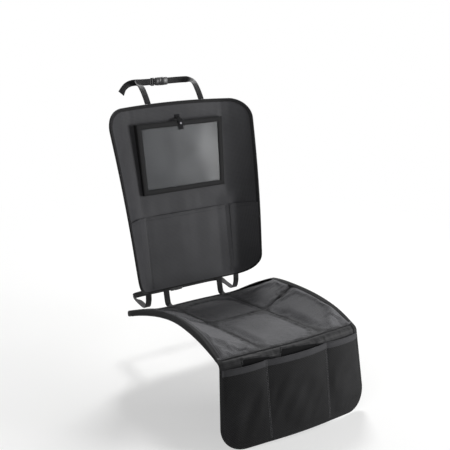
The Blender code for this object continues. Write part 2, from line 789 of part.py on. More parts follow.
def build_buckle(prefix, centre, mats):
    """Make a closed side-release buckle, with its tongue inside its socket."""
    def frame(a, b, d):
        return centre + Vector((a, d, b))

    def section(a, half_wide, half_thick):
        return [frame(a, -half_wide, -half_thick), frame(a, half_wide, -half_thick),
                frame(a, half_wide, half_thick), frame(a, -half_wide, half_thick)]

    half = BUCKLE_THICK / 2
    half_wide, reach, nose = BUCKLE_WIDTH / 2, BUCKLE_LENGTH / 2, BUCKLE_WIDTH / 6
    socket = prism(prefix + "_buckle_socket", socket_outline(), -half, half, frame, mats["plastic"])
    tongue = BUCKLE_LENGTH / 4
    tongue_wide = half_wide - BUCKLE_WALL - BUCKLE_CLEAR
    tongue_thick = half - BUCKLE_WALL - BUCKLE_CLEAR
    hollow = rectangle(-tongue - BUCKLE_CLEAR, BUCKLE_WALL,
                       -tongue_wide - BUCKLE_CLEAR, tongue_wide + BUCKLE_CLEAR)
    cutter = prism(prefix + "_hollow", hollow, -tongue_thick - BUCKLE_CLEAR,
                   tongue_thick + BUCKLE_CLEAR, frame, mats["plastic"])
    cutter.hide_render = True
    cutter.display_type = "WIRE"
    cut = socket.modifiers.new("hollow", "BOOLEAN")
    cut.operation = "DIFFERENCE"
    cut.solver = "EXACT"
    cut.object = cutter
    loft_solid(prefix + "_buckle_plug",
               [section(-tongue, tongue_wide, tongue_thick), section(TOUCH, tongue_wide, tongue_thick),
                section(TOUCH, half_wide, half), section(reach - nose, half_wide, half),
                section(reach, half_wide - nose, half)], mats["plastic"])


def post_line():
    """Return the middle of the top strap's run behind the two posts."""
    top = panel_point(0, PANEL_FOOT + PANEL_LENGTH, 0)
    return Vector((0, top.y + POST_BACK, top.z + POST_RISE))


def build_top_strap(mats):
    """Make the strap that passes behind the two posts, its buckle, its slider and loose tail."""
    corner_x = PANEL_WIDTH_TOP / 2 - PANEL_CORNER_TOP
    edge_h = PANEL_FOOT + PANEL_LENGTH - PANEL_TOP_ARCH * (TOP_STRAP_X / corner_x) ** 2
    base = panel_point(0, edge_h + BINDING_GAP + BINDING_WIDTH + 3 * TOUCH, PANEL_THICK / 2)
    post = post_line()
    across, upright = Vector((1, 0, 0)), Vector((0, 0, 1))
    build_buckle("upper", post, mats)
    reach = BUCKLE_LENGTH / 2 + TOUCH
    for side, name in ((-1, "left"), (1, "right")):
        x = side * TOP_STRAP_X
        end = side * (reach + (SLIDER_LENGTH + TOUCH if side < 0 else 0.0))
        turning = (across + upright * side).normalized()
        stops = [(Vector((x, base.y, base.z)), across)]
        for back, up in TOP_STRAP_ARC:
            y = base.y + (post.y - base.y) * back
            stops.append((Vector((x, y, base.z + (post.z - base.z) * up)), across))
        stops += [(Vector((x - side * WEBBING_THICK, post.y - TOP_STRAP_TURN, post.z)), turning),
                  (Vector((x - side * TOP_STRAP_TURN, post.y, post.z)), upright * side),
                  (Vector((end, post.y, post.z)), upright * side)]
        webbing("upper_strap_" + name, stops, mats["webbing"], steps=3)
    build_slider(post, reach, mats)


def build_slider(post, reach, mats):
    """Make the slider that shortens the strap and the loose tail that comes out of it."""
    centre = post - Vector((reach + SLIDER_LENGTH / 2, 0, 0))
    half_long, half_wide = SLIDER_LENGTH / 2 - TOUCH, BUCKLE_WIDTH / 2

    def frame(a, b, d):
        return centre + Vector((a, d, b))

    flat_ring("strap_slider", rectangle(-half_long, half_long, -half_wide, half_wide),
              rectangle(-half_long + SLIDER_BAR, half_long - SLIDER_BAR,
                        -half_wide + SLIDER_BAR, half_wide - SLIDER_BAR),
              -WEBBING_THICK, WEBBING_THICK, frame, mats["plastic"])
    start = centre + Vector((half_long, 1.5 * WEBBING_THICK + TOUCH, 0))
    stops = []
    for share, back, rise, lean in TAIL_PATH:
        place = start + Vector((-TAIL_LENGTH * share, TAIL_LENGTH * back, TAIL_LENGTH * rise))
        stops.append((place, Vector((0, lean, 1))))
    webbing("upper_strap_tail", stops, mats["webbing"], steps=3)


def build_lower_straps(mats):
    """Make the two straps that go through the crease and are buckled behind."""
    across, upright = Vector((1, 0, 0)), Vector((0, 0, 1))
    build_buckle("lower", Vector((0, LOWER_LOOP_Y, LOWER_LOOP_Z)), mats)
    reach = BUCKLE_LENGTH / 2 + TOUCH
    h = PANEL_FOOT - BINDING_GAP - BINDING_WIDTH - LOWER_STRAP_DIP
    start = panel_point(LOWER_STRAP_X, h, PANEL_THICK / 2 + panel_wrap(LOWER_STRAP_X, PANEL_FOOT))
    flat_y = start.y + LOWER_BEND
    for side, name in ((-1, "left"), (1, "right")):
        x = side * LOWER_STRAP_X
        turning = (across + upright * side).normalized()
        stops = [(Vector((x, start.y, start.z)), across),
                 (Vector((x, start.y + TOUCH, (start.z + LOWER_LOOP_Z) / 2)), across),
                 (Vector((x, flat_y, LOWER_LOOP_Z)), across),
                 (Vector((x, (flat_y + LOWER_LOOP_Y) / 2, LOWER_LOOP_Z)), across),
                 (Vector((x - side * WEBBING_THICK, LOWER_LOOP_Y - LOWER_TURN, LOWER_LOOP_Z)), turning),
                 (Vector((x - side * LOWER_TURN, LOWER_LOOP_Y, LOWER_LOOP_Z)), upright * side),
                 (Vector((side * reach, LOWER_LOOP_Y, LOWER_LOOP_Z)), upright * side)]
        webbing("lower_strap_" + name, stops, mats["webbing"], steps=3)


def main():
    """Build the whole protector."""
    clear_scene()
    mats = {
        "panel": make_material("woven polyester panel", BLACK_FABRIC, 0.75),
        "pad": make_material("padded polyester top", PAD_FABRIC, 0.70),
        "backing": make_material("dotted grip backing", BLACK_FABRIC, 0.85),
        "tape": make_material("binding tape", DARK_TAPE, 0.80),
        "hem": make_material("pocket hem band", BLACK_FABRIC, 0.75),
        "mesh": make_material("open mesh fabric", MESH_BLACK, 0.65),
        "webbing": make_material("polypropylene webbing", DARK_TAPE, 0.60),
        "film": make_material("clear film", CLEAR_FILM, 0.08),
        "plastic": make_material("moulded plastic", BLACK_PLASTIC, 0.40),
        "metal": make_material("plated snap", SNAP_METAL, 0.30, 1.0),
    }
    build_panel(mats)
    build_window(mats)
    build_mat(mats)
    build_flap(mats)
    build_mat_binding(mats)
    build_connectors(mats)
    build_top_strap(mats)
    build_lower_straps(mats)


if __name__ == "__main__":
    main()
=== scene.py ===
"""Looks of the padded car seat protector: cloth, foam, mesh, webbing, clear film and buckles."""

import math

import bmesh
import bpy
import numpy as np
from bpy.props import FloatProperty, FloatVectorProperty, PointerProperty
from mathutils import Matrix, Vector, noise


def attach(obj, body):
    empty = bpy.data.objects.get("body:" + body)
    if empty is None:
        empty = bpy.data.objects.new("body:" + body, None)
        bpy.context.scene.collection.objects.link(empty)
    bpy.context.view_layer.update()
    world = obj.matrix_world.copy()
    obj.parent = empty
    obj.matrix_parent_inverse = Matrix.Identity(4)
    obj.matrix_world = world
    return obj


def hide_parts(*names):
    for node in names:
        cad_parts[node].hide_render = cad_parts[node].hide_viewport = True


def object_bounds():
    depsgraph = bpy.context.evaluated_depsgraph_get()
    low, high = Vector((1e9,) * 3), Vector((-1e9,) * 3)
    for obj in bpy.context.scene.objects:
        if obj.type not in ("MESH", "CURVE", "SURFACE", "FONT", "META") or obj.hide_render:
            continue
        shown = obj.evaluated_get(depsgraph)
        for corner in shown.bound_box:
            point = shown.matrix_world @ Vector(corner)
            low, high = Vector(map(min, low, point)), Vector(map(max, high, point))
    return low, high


bl_info = {
    "name": "Car seat protector looks",
    "version": (1, 0, 0),
    "blender": (4, 5, 0),
    "location": "3D View > Sidebar > Protector",
    "description": "Builds the cloth, foam, mesh, straps and buckles round the packed solids",
    "category": "Object",
}

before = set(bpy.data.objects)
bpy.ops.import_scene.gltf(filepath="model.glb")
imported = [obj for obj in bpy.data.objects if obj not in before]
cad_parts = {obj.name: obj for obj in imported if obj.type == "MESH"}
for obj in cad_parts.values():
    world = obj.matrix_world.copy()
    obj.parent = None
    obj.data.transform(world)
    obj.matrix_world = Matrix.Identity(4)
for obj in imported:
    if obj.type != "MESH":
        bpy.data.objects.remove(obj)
CAD_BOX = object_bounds()

# The two planes that the protector lies against
BACK_LEAN = math.radians(10.1)
MAT_TILT = math.radians(7.8)

# Room between touching solids and between one sheet and the next, in metres
TOUCH, SHEET_GAP = 0.0003, 0.0006

# Backrest panel
PANEL_FOOT, PANEL_LENGTH = 0.0620, 0.578
PANEL_TOP = PANEL_FOOT + PANEL_LENGTH
PANEL_WIDTH_FOOT, PANEL_WIDTH_TOP = 0.438, 0.503
PANEL_THICK = 0.005
PANEL_CORNER_TOP, PANEL_CORNER_FOOT = 0.068, 0.064
PANEL_TOP_ARCH = 0.006
PANEL_FLAT_HALF = 0.154
PANEL_CURL, CURL_FULL_BELOW, CURL_FADE = 0.077, 0.200, 0.620
POCKET_SEAM_X, POCKET_MOUTH, POCKET_GAPE = 0.143, 0.2966, 0.009
TURN_START, TURN_SLOPE = 0.112, 0.21
WINDOW_WIDTH, WINDOW_WIDTH_MOUTH = 0.290, 0.303
WINDOW_FOOT, WINDOW_HEIGHT = 0.3646, 0.220
WINDOW_DEPTH, WINDOW_DEPTH_MOUTH = 0.007, 0.017
TAB_ABOVE, TAB_BELOW, TAB_WIDTH, TAB_THICK = 0.020, 0.028, 0.018, 0.0016
# The window tape's section: share of its width and height over the film's face
FRAME_SECTION = ((0, 0.0012), (0, 0.0026), (0.06, 0.0033), (0.5, 0.0036), (0.94, 0.0033), (1, 0.0026),
                 (1, 0.0012))

# Cushion mat
MAT_REAR, MAT_FRONT, MAT_BASE = 0.018, 0.555, 0.004
MAT_HALF_FRONT, MAT_HALF_REAR, MAT_FLARE_START = 0.221, 0.285, 0.330
MAT_CORNER, MAT_REAR_BOW, MAT_FRONT_BOW = 0.055, 0.022, 0.025
BOLSTER_RISE, BOLSTER_PEAK, BOLSTER_FRONT, BOLSTER_REAR = 0.047, 0.270, 0.245, 0.270
GROOVE_X, REAR_HEM = 0.098, 0.026
CROSS_SEAM, CROSS_SWEEP = 0.267, 0.025
PUFF_FRAMES = 20

# Binding tapes: reach past the edge, thickness, height over both faces, and the stitches' inset
TAPE_GAP, TAPE_WIDTH, TAPE_THICK = 0.0007, 0.005, 0.0007
TAPE_REACH, TAPE_BEHIND, TAPE_PROUD, STITCH_INSET = TAPE_GAP + TAPE_WIDTH, 0.0009, 0.0014, 0.0018

# Front flap
ROLL_RADIUS, FLAP_LEAN, FLAP_DROP = 0.013, math.radians(9.0), 0.228
FLAP_THICK, FLAP_FLARE, FLAP_CORNER = 0.0025, 0.015, 0.065
HEM_TOP, HEM_HEIGHT, FLAP_GAPE = 0.005, 0.017, 0.009
# Pocket mouths that stand open: left end, right end and height above the hem
MOUTHS = ((-0.166, -0.060, 0.014), (-0.054, 0.094, 0.017))

# Straps
STRAP_WIDTH, STRAP_THICK = 0.020, 0.0018
TOP_STRAP_X, CONNECTOR_X, LOWER_STRAP_X = 0.094, 0.098, 0.162
LOOP_BACK, LOOP_RISE, LOOP_TURN = 0.092, 0.057, 0.015
CONNECTOR_LAP, ANCHOR_SHIFT = 0.018, 0.0045
LOWER_LOOP_Y, LOWER_LOOP_Z, LOWER_BEND, LOWER_TURN = 0.128, 0.004, 0.016, 0.018
# The loose tail's stops: share of its length to the side, then back, up, and its lean
TAIL_LENGTH, TAIL_FRAY = 0.124, 0.14
TAIL_PATH = ((0, 0, 0, 0), (0.30, 0.02, 0, 0), (0.62, 0.03, 0, 0), (0.84, -0.04, -0.07, 0.2),
             (1, -0.15, -0.21, 0.5))
BUCKLE_LENGTH, BUCKLE_WIDTH, BUCKLE_THICK = 0.046, 0.026, 0.009
SLIDER_LENGTH, SLIDER_BAR = 0.016, 0.0030

# Camera: the focal length and the frame's width are in the photo's pixels
CAMERA_PLACE, CAMERA_DOWN, CAMERA_TURN = (-1.18877, -2.16286, 1.05849), 17.982, -31.116
FOCAL_PIXELS, FRAME_PIXELS, SENSOR_WIDTH = 818.01, 450.0, 36.0


# Materials


def linear(code):
    """Turn an sRGB hex colour into linear red, green, blue and alpha."""
    values = []
    for n in (0, 2, 4):
        v = int(code[n:n + 2], 16) / 255
        values.append(v / 12.92 if v <= 0.04045 else ((v + 0.055) / 1.055) ** 2.4)
    return (*values, 1.0)


def paint(key, level=1.0):
    """Return one of the sidebar's colours, made darker or lighter, with its alpha."""
    colour = getattr(bpy.context.scene.protector_colours, key)
    return (*(min(1.0, part * level) for part in colour), 1.0)


def add(tree, kind, links=(), **settings):
    """Add a node; settings are properties or, by input name, values; links join inputs to outputs."""
    item = tree.nodes.new(kind)
    for key, value in settings.items():
        if hasattr(item, key):
            setattr(item, key, value)
        else:
            item.inputs[key.replace("_", " ")].default_value = value
    for target, source in links:
        tree.links.new(source, item.inputs[target])
    return item


def start_material(name, colour, roughness, ior=1.5, metallic=0.0, sheen=0.0, gloss=0.5):
    """Return a new material with its tree and its shader set to the given finish."""
    material = bpy.data.materials.new(name)
    material.use_nodes = True
    tree = material.node_tree
    shader = tree.nodes["Principled BSDF"]
    for key, value in (("Base Color", colour), ("Roughness", roughness), ("IOR", ior),
                       ("Metallic", metallic), ("Sheen Weight", sheen), ("Sheen Roughness", 0.45),
                       ("Sheen Tint", (0.35, 0.35, 0.36, 1.0)), ("Specular IOR Level", gloss)):
        shader.inputs[key].default_value = value
    material.diffuse_color = colour
    return material, tree, shader


def wave_scale(period):
    """Return the wave texture's scale for lines that repeat every so many metres."""
    return 2 * math.pi / (20 * period)


def weave_height(tree, coords, period, ratio=1.0):
    """Return an output that is high on the threads of a plain weave with the given spacing."""
    warp = add(tree, "ShaderNodeTexWave", [("Vector", coords)], bands_direction="X",
               Scale=wave_scale(period), Distortion=0.4, Detail=1.0)
    weft = add(tree, "ShaderNodeTexWave", [("Vector", coords)], bands_direction="Y",
               Scale=wave_scale(period * ratio), Distortion=0.4, Detail=1.0)
    return add(tree, "ShaderNodeMath", [(0, warp.outputs["Fac"]), (1, weft.outputs["Fac"])],
               operation="MAXIMUM").outputs[0]


def dress(shader, tone, dark, light, span=(0.35, 0.65), relief=None, depth=0.0, distance=0.001):
    """Colour a shader between two tones by one pattern, and raise its surface by another."""
    tree = shader.id_data
    ramp = add(tree, "ShaderNodeValToRGB", [("Fac", tone)])
    for stop, place, colour in zip(ramp.color_ramp.elements, span, (dark, light)):
        stop.position = place
        stop.color = colour
    tree.links.new(ramp.outputs["Color"], shader.inputs["Base Color"])
    if relief is not None:
        raised = add(tree, "ShaderNodeBump", [("Height", relief)], Strength=depth, Distance=distance)
        tree.links.new(raised.outputs["Normal"], shader.inputs["Normal"])
    return ramp


def oxford_polyester(name="oxford polyester cloth", colour="panel", dark=0.70, light=1.33):
    # 600-denier polyester, plain weave, coated at the back: a smooth black-grey cloth with a
    # faint thread grain. Fibres scatter the gloss, so its level is low. Threads are 0.5 mm apart
    # and are drawn 3.4 mm apart so that they show.
    material, tree, shader = start_material(name, paint(colour), 0.62, sheen=0.06, gloss=0.16)
    uv = add(tree, "ShaderNodeUVMap").outputs["UV"]
    weave = weave_height(tree, uv, 0.0034, 1.2)
    cloud = add(tree, "ShaderNodeTexNoise", [("Vector", uv)], Scale=9.0, Detail=4.0).outputs["Fac"]
    grain = add(tree, "ShaderNodeMix", [("A", weave), ("B", cloud)], data_type="FLOAT", Factor=0.55)
    dress(shader, grain.outputs[0], paint(colour, dark), paint(colour, light), (0.30, 0.75),
          weave, 0.25, 0.0004)
    return material


def flap_oxford_with_painted_shade():
    # The same oxford cloth in black, gathered on the roll and behind the pockets, and made darker still as
    # painted shade for the roll and the open pocket mouths.
    return oxford_polyester("black oxford polyester", "flap", 0.62, 1.55)


def painted_mouth_shadow():
    # Painted shadow: a near-black sheet laid inside the pockets' open mouths, where there is only shade, so
    # that they read as black.
    material, tree, shader = start_material("black taffeta lining", linear("0c0c0d"), 0.8, gloss=0.08)
    weave = weave_height(tree, add(tree, "ShaderNodeUVMap").outputs["UV"], 0.0012)
    dress(shader, weave, linear("09090a"), linear("101011"), relief=weave, depth=0.2, distance=0.0003)
    return material


def melange_pad_cloth():
    # Melange polyester, basket woven from pale and dark yarns and welded to its foam: dark grey
    # with a salt-and-pepper speckle, and darker in its sewn grooves as painted shade (pressed
    # is 1 there). Yarns are 0.8 mm apart and are drawn 4 mm apart, which is the least that shows.
    material, tree, shader = start_material("melange woven polyester", paint("pad"), 0.72, sheen=0.10,
                                            gloss=0.18)
    uv = add(tree, "ShaderNodeUVMap").outputs["UV"]
    weave = weave_height(tree, uv, 0.0040)
    yarn = add(tree, "ShaderNodeTexNoise", [("Vector", uv)], Scale=300.0, Detail=3.0).outputs["Fac"]
    cloud = add(tree, "ShaderNodeTexNoise", [("Vector", uv)], Scale=14.0, Detail=5.0).outputs["Fac"]
    speckle = add(tree, "ShaderNodeMix", [("A", yarn), ("B", weave)], data_type="FLOAT", Factor=0.35)
    mixed = add(tree, "ShaderNodeMix", [("A", speckle.outputs[0]), ("B", cloud)],
                data_type="FLOAT", Factor=0.25)
    ramp = dress(shader, mixed.outputs[0], paint("pad", 0.37), paint("pad", 1.74), (0.38, 0.64),
                 speckle.outputs[0], 0.5, 0.0010)
    # Painted shade: mix the cloth towards a near-black tone where the groove shade attribute is 1, in the
    # sewn grooves.
    pressed = add(tree, "ShaderNodeAttribute", attribute_name="pressed").outputs["Fac"]
    groove_shaded = add(tree, "ShaderNodeMix", [("Factor", pressed), (6, ramp.outputs["Color"])],
               data_type="RGBA")
    groove_shaded.inputs[7].default_value = paint("pad", 0.09)
    tree.links.new(groove_shaded.outputs[2], shader.inputs["Base Color"])
    return material


def dotted_backing():
    # Polyester felt with printed PVC grip dots, 3 mm wide and 9 mm apart: matt, with small pimples.
    material, tree, shader = start_material("dotted grip felt", paint("backing"), 0.85, gloss=0.12)
    uv = add(tree, "ShaderNodeUVMap").outputs["UV"]
    dots = add(tree, "ShaderNodeTexVoronoi", [("Vector", uv)], feature="F1",
               Scale=1 / 0.009, Randomness=0.0).outputs["Distance"]
    edge = add(tree, "ShaderNodeMapRange", [("Value", dots)], From_Min=0.14, From_Max=0.19, To_Min=1.0,
               To_Max=0.0)
    fuzz = add(tree, "ShaderNodeTexNoise", [("Vector", uv)], Scale=600.0, Detail=3.0).outputs["Fac"]
    mixed = add(tree, "ShaderNodeMix", [("A", fuzz), ("B", edge.outputs[0])], data_type="FLOAT",
                Factor=0.7)
    dress(shader, mixed.outputs[0], paint("backing", 1.18), paint("backing", 0.37), (0.25, 0.80),
          mixed.outputs[0], 0.6, 0.0008)
    return material


def binding_tape():
    # Grosgrain tape of polyester, cross-ribbed every 1.2 mm (drawn 2 mm apart), folded over the
    # edge and sewn: it gives a nearly black matt line with a soft sheen on its fold.
    material, tree, shader = start_material("grosgrain binding tape", paint("binding"), 0.68, sheen=0.04,
                                            gloss=0.14)
    uv = add(tree, "ShaderNodeUVMap").outputs["UV"]
    ribs = add(tree, "ShaderNodeTexWave", [("Vector", uv)], bands_direction="X",
               Scale=wave_scale(0.0020), Distortion=0.3, Detail=1.0).outputs["Fac"]
    dress(shader, ribs, paint("binding", 0.60), paint("binding", 1.63), (0.2, 0.8), ribs, 0.4, 0.0004)
    return material


def webbing_cloth():
    # Polypropylene webbing, woven in ribs along its length with a herringbone between them: black,
    # with a slight gloss. Ribs are 1.8 mm apart.
    material, tree, shader = start_material("woven polypropylene webbing", paint("webbing"), 0.55, 1.49,
                                            sheen=0.03, gloss=0.18)
    uv = add(tree, "ShaderNodeUVMap").outputs["UV"]
    ribs = add(tree, "ShaderNodeTexWave", [("Vector", uv)], bands_direction="Y",
               Scale=wave_scale(0.0018)).outputs["Fac"]
    picks = add(tree, "ShaderNodeTexWave", [("Vector", uv)], bands_direction="DIAGONAL",
                Scale=wave_scale(0.0022), Distortion=0.5).outputs["Fac"]
    mixed = add(tree, "ShaderNodeMix", [("A", ribs), ("B", picks)], data_type="FLOAT", Factor=0.45)
    dress(shader, mixed.outputs[0], paint("webbing", 0.59), paint("webbing", 2.0), (0.25, 0.75),
          mixed.outputs[0], 0.6, 0.0005)
    return material


def knitted_mesh():
    # Warp-knitted polyester mesh with round holes every 2 mm, drawn 5 mm apart so that they show:
    # nearly black, with a fine net of slightly paler yarn.
    material, tree, shader = start_material("warp-knitted polyester mesh", paint("mesh"), 0.65, sheen=0.04,
                                            gloss=0.12)
    uv = add(tree, "ShaderNodeUVMap").outputs["UV"]
    turned = add(tree, "ShaderNodeMapping", [("Vector", uv)], Rotation=(0, 0, math.radians(45)))
    holes = add(tree, "ShaderNodeTexVoronoi", [("Vector", turned.outputs[0])], feature="F1",
                Scale=1 / 0.0050, Randomness=0.12).outputs["Distance"]
    patch = add(tree, "ShaderNodeTexNoise", [("Vector", uv)], Scale=11.0, Detail=4.0).outputs["Fac"]
    mixed = add(tree, "ShaderNodeMix", [("A", holes), ("B", patch)], data_type="FLOAT", Factor=0.35)
    dress(shader, mixed.outputs[0], paint("mesh", 0.29), paint("mesh", 1.91), (0.32, 0.60),
          holes, 0.7, 0.0008)
    return material


def hem_cloth():
    # The pocket's hem: the panel's oxford cloth, doubled and pressed, so smoother and a bit paler.
    material, tree, shader = start_material("folded oxford hem", paint("hem"), 0.66, sheen=0.05, gloss=0.14)
    uv = add(tree, "ShaderNodeUVMap").outputs["UV"]
    weave = weave_height(tree, uv, 0.0015)
    cloud = add(tree, "ShaderNodeTexNoise", [("Vector", uv)], Scale=22.0, Detail=3.0).outputs["Fac"]
    mixed = add(tree, "ShaderNodeMix", [("A", weave), ("B", cloud)], data_type="FLOAT", Factor=0.5)
    dress(shader, mixed.outputs[0], paint("hem", 0.70), paint("hem", 1.37), relief=weave, depth=0.3,
          distance=0.0004)
    return material


def clear_vinyl():
    # Calendered clear PVC film, slightly scuffed: colourless, with the slow ripples of a rolled
    # sheet, a soft sheen and a faint grey haze. Light passes straight through it, so it is drawn
    # as a thin veil.
    material, tree, shader = start_material("calendered clear vinyl", linear("6f7376"), 0.26, 1.53)
    shader.inputs["Alpha"].default_value = 0.11
    shader.inputs["Coat Weight"].default_value = 0.5
    shader.inputs["Coat Roughness"].default_value = 0.16
    uv = add(tree, "ShaderNodeUVMap").outputs["UV"]
    slow = add(tree, "ShaderNodeTexNoise", [("Vector", uv)], Scale=11.0, Detail=1.0).outputs["Fac"]
    dress(shader, slow, linear("5d6164"), linear("7f8386"), relief=slow, depth=0.25, distance=0.003)
    return material


def moulded_acetal():
    # Acetal, injection moulded in a lightly spark-eroded tool: black with a satin skin.
    material, tree, shader = start_material("moulded acetal", linear("151516"), 0.38, 1.48)
    place = add(tree, "ShaderNodeTexCoord").outputs["Object"]
    grit = add(tree, "ShaderNodeTexNoise", [("Vector", place)], Scale=1800.0, Detail=2.0).outputs["Fac"]
    dress(shader, grit, linear("121213"), linear("1b1b1d"), relief=grit, depth=0.15, distance=0.0002)
    return material


def plated_brass():
    # Pressed brass with a black nickel plating, tumbled: a small grey cap with fine scratches.
    material, tree, shader = start_material("black nickel-plated brass", linear("77767a"), 0.36,
                                            metallic=1.0)
    place = add(tree, "ShaderNodeTexCoord").outputs["Object"]
    scratch = add(tree, "ShaderNodeTexNoise", [("Vector", place)], Scale=900.0, Detail=4.0).outputs["Fac"]
    dress(shader, scratch, linear("68676b"), linear("868589"), relief=scratch, depth=0.1,
          distance=0.0001)
    return material


def sewing_thread(name="twisted polyester thread", colour="thread", dark=0.67, light=1.56):
    # Twisted polyester sewing thread, 0.8 mm thick, black-grey with a slight shine.
    material, tree, shader = start_material(name, paint(colour), 0.5, gloss=0.2)
    place = add(tree, "ShaderNodeTexCoord").outputs["Object"]
    twist = add(tree, "ShaderNodeTexNoise", [("Vector", place)], Scale=1500.0).outputs["Fac"]
    dress(shader, twist, paint(colour, dark), paint(colour, light))
    return material


def quilting_thread():
    # The same thread in grey, for the topstitching of the pads and the mesh, and for the grey bars on the
    # anchor plates, which are painted highlights.
    return sewing_thread("grey polyester thread", "grey_thread", 0.69, 1.37)


def loop_pile():
    # Brushed nylon loop of a touch fastener: very matt and slightly fuzzy.
    material, tree, shader = start_material("brushed nylon loop", linear("141415"), 0.9, 1.53, sheen=0.08,
                                            gloss=0.1)
    place = add(tree, "ShaderNodeTexCoord").outputs["Object"]
    pile = add(tree, "ShaderNodeTexNoise", [("Vector", place)], Scale=1100.0, Detail=3.0).outputs["Fac"]
    dress(shader, pile, linear("101011"), linear("28282a"), relief=pile, depth=0.7, distance=0.0006)
    return material


# Each kind of finish: the function that makes it and the slot for it
FINISHES = {
    "panel": (oxford_polyester, "panel_fabric"), "flap": (flap_oxford_with_painted_shade, "panel_fabric"),
    "pad": (melange_pad_cloth, "pad_fabric"), "backing": (dotted_backing, "grip_backing"),
    "tape": (binding_tape, "binding_tape"), "webbing": (webbing_cloth, "webbing"),
    # lining is painted shadow: a near-black sheet in the open pocket mouths.
    "mesh": (knitted_mesh, "mesh_fabric"), "lining": (painted_mouth_shadow, "mesh_fabric"),
    "hem": (hem_cloth, "pocket_hem"), "film": (clear_vinyl, "clear_film"),
    "plastic": (moulded_acetal, "moulded_plastic"), "metal": (plated_brass, "snap_metal"),
    "thread": (sewing_thread, "binding_tape"), "grey thread": (quilting_thread, "binding_tape"),
    "loop": (loop_pile, "binding_tape"),
}
made_materials = {}


def finish_of(kind):
    """Return the material of a kind, made once."""
    if kind not in made_materials:
        made_materials[kind] = FINISHES[kind][0]()
    return made_materials[kind]


# Surfaces that the pieces follow


def on_back(x, h, d):
    """Place points by side, height up the plane behind the panel and lift off it."""
    x, h, d = np.broadcast_arrays(*(np.asarray(v, float) for v in (x, h, d)))
    return np.stack([x, h * math.sin(BACK_LEAN) - d * math.cos(BACK_LEAN),
                     h * math.cos(BACK_LEAN) + d * math.sin(BACK_LEAN)], -1)


def on_mat(x, s, d):
    """Place points by side, distance forward on the plane under the mat and height off it."""
    x, s, d = np.broadcast_arrays(*(np.asarray(v, float) for v in (x, s, d)))
    return np.stack([x, -s * math.cos(MAT_TILT) + d * math.sin(MAT_TILT),
                     s * math.sin(MAT_TILT) + d * math.cos(MAT_TILT)], -1)


def panel_side(h):
    """Return half the panel's width at a height, with square corners."""
    return (PANEL_WIDTH_FOOT + (h - PANEL_FOOT) / PANEL_LENGTH * (PANEL_WIDTH_TOP - PANEL_WIDTH_FOOT)) / 2


def panel_curl(x, h):
    """Return how far the panel curls forward near its sides."""
    lost = np.maximum(0.0, (h - CURL_FULL_BELOW) / CURL_FADE)
    share = np.maximum(0.0, np.abs(x) - PANEL_FLAT_HALF) / (panel_side(h) - PANEL_FLAT_HALF)
    return PANEL_CURL * (1 - lost ** 2) * share ** 1.6


def panel_face(x, h):
    """Place points on the panel's rear face."""
    return on_back(x, h, panel_curl(x, h))


def window_face(x, h):
    """Place points on the inner face of the window's film."""
    share = (h - WINDOW_FOOT) / WINDOW_HEIGHT
    widen = 1 + (WINDOW_WIDTH_MOUTH / WINDOW_WIDTH - 1) * share
    depth = WINDOW_DEPTH + (WINDOW_DEPTH_MOUTH - WINDOW_DEPTH) * share
    return on_back(x * widen, h, PANEL_THICK + SHEET_GAP + depth)


def mat_side(s):
    """Return half the mat's width, with square rear corners."""
    share = np.maximum(0.0, (MAT_FLARE_START - s) / (MAT_FLARE_START - MAT_REAR))
    return MAT_HALF_FRONT + (MAT_HALF_REAR - MAT_HALF_FRONT) * share ** 2


def bolster(x, s):
    """Return how far the mat rises towards its sides."""
    inside = GROOVE_X + 0.004
    share = np.maximum(0.0, np.abs(x) - inside) / (mat_side(s) - inside)
    s = np.minimum(s, MAT_FRONT - MAT_FRONT_BOW - 0.002)
    span = np.where(s > BOLSTER_PEAK, BOLSTER_FRONT, BOLSTER_REAR)
    return BOLSTER_RISE * (1 - ((s - BOLSTER_PEAK) / span) ** 2) * share ** 1.25


def mat_face(x, s):
    """Place points on the mat's underside."""
    return on_mat(x, s, bolster(x, s))


def roll_length():
    """Return the length of cloth on the mat's front roll."""
    return ROLL_RADIUS * (MAT_TILT + math.pi / 2 - FLAP_LEAN)


def flap_face(x, run):
    """Place points on the flap's rear face by the length of cloth from the mat's front edge."""
    half = mat_side(MAT_FRONT - MAT_FRONT_BOW)
    front = MAT_FRONT - MAT_FRONT_BOW * (x / half) ** 2
    edge = on_mat(x, front, bolster(x, front))
    slope = MAT_TILT - np.minimum(run, roll_length()) / ROLL_RADIUS
    drop = np.maximum(0.0, run - roll_length())
    y = edge[..., 1] - ROLL_RADIUS * (math.sin(MAT_TILT) - np.sin(slope)) - np.cos(slope) * drop
    z = edge[..., 2] + ROLL_RADIUS * (np.cos(slope) - math.cos(MAT_TILT)) + np.sin(slope) * drop
    return np.stack([edge[..., 0], y, z], -1)


def with_normals(place, a, b, side):
    """Return the placed points of two coordinate grids and their unit normals."""
    step = 0.0005
    across = place(a + step, b) - place(a - step, b)
    along = place(a, b + step) - place(a, b - step)
    normal = np.cross(across, along) * side
    return place(a, b), normal / np.linalg.norm(normal, axis=-1, keepdims=True)


def ripple(x, y, scale_x, scale_y, seed):
    """Return smooth noise from -1 to 1 over two coordinate grids, with its own scale each way."""
    flat = [noise.noise(Vector((a * scale_x, b * scale_y, seed))) for a, b in zip(x.ravel(), y.ravel())]
    return np.array(flat).reshape(x.shape)


def fade(value, low, high):
    """Return a smooth rise from 0 at low to 1 at high."""
    t = np.clip((value - low) / (high - low), 0.0, 1.0)
    return t * t * (3 - 2 * t)


# Mesh building


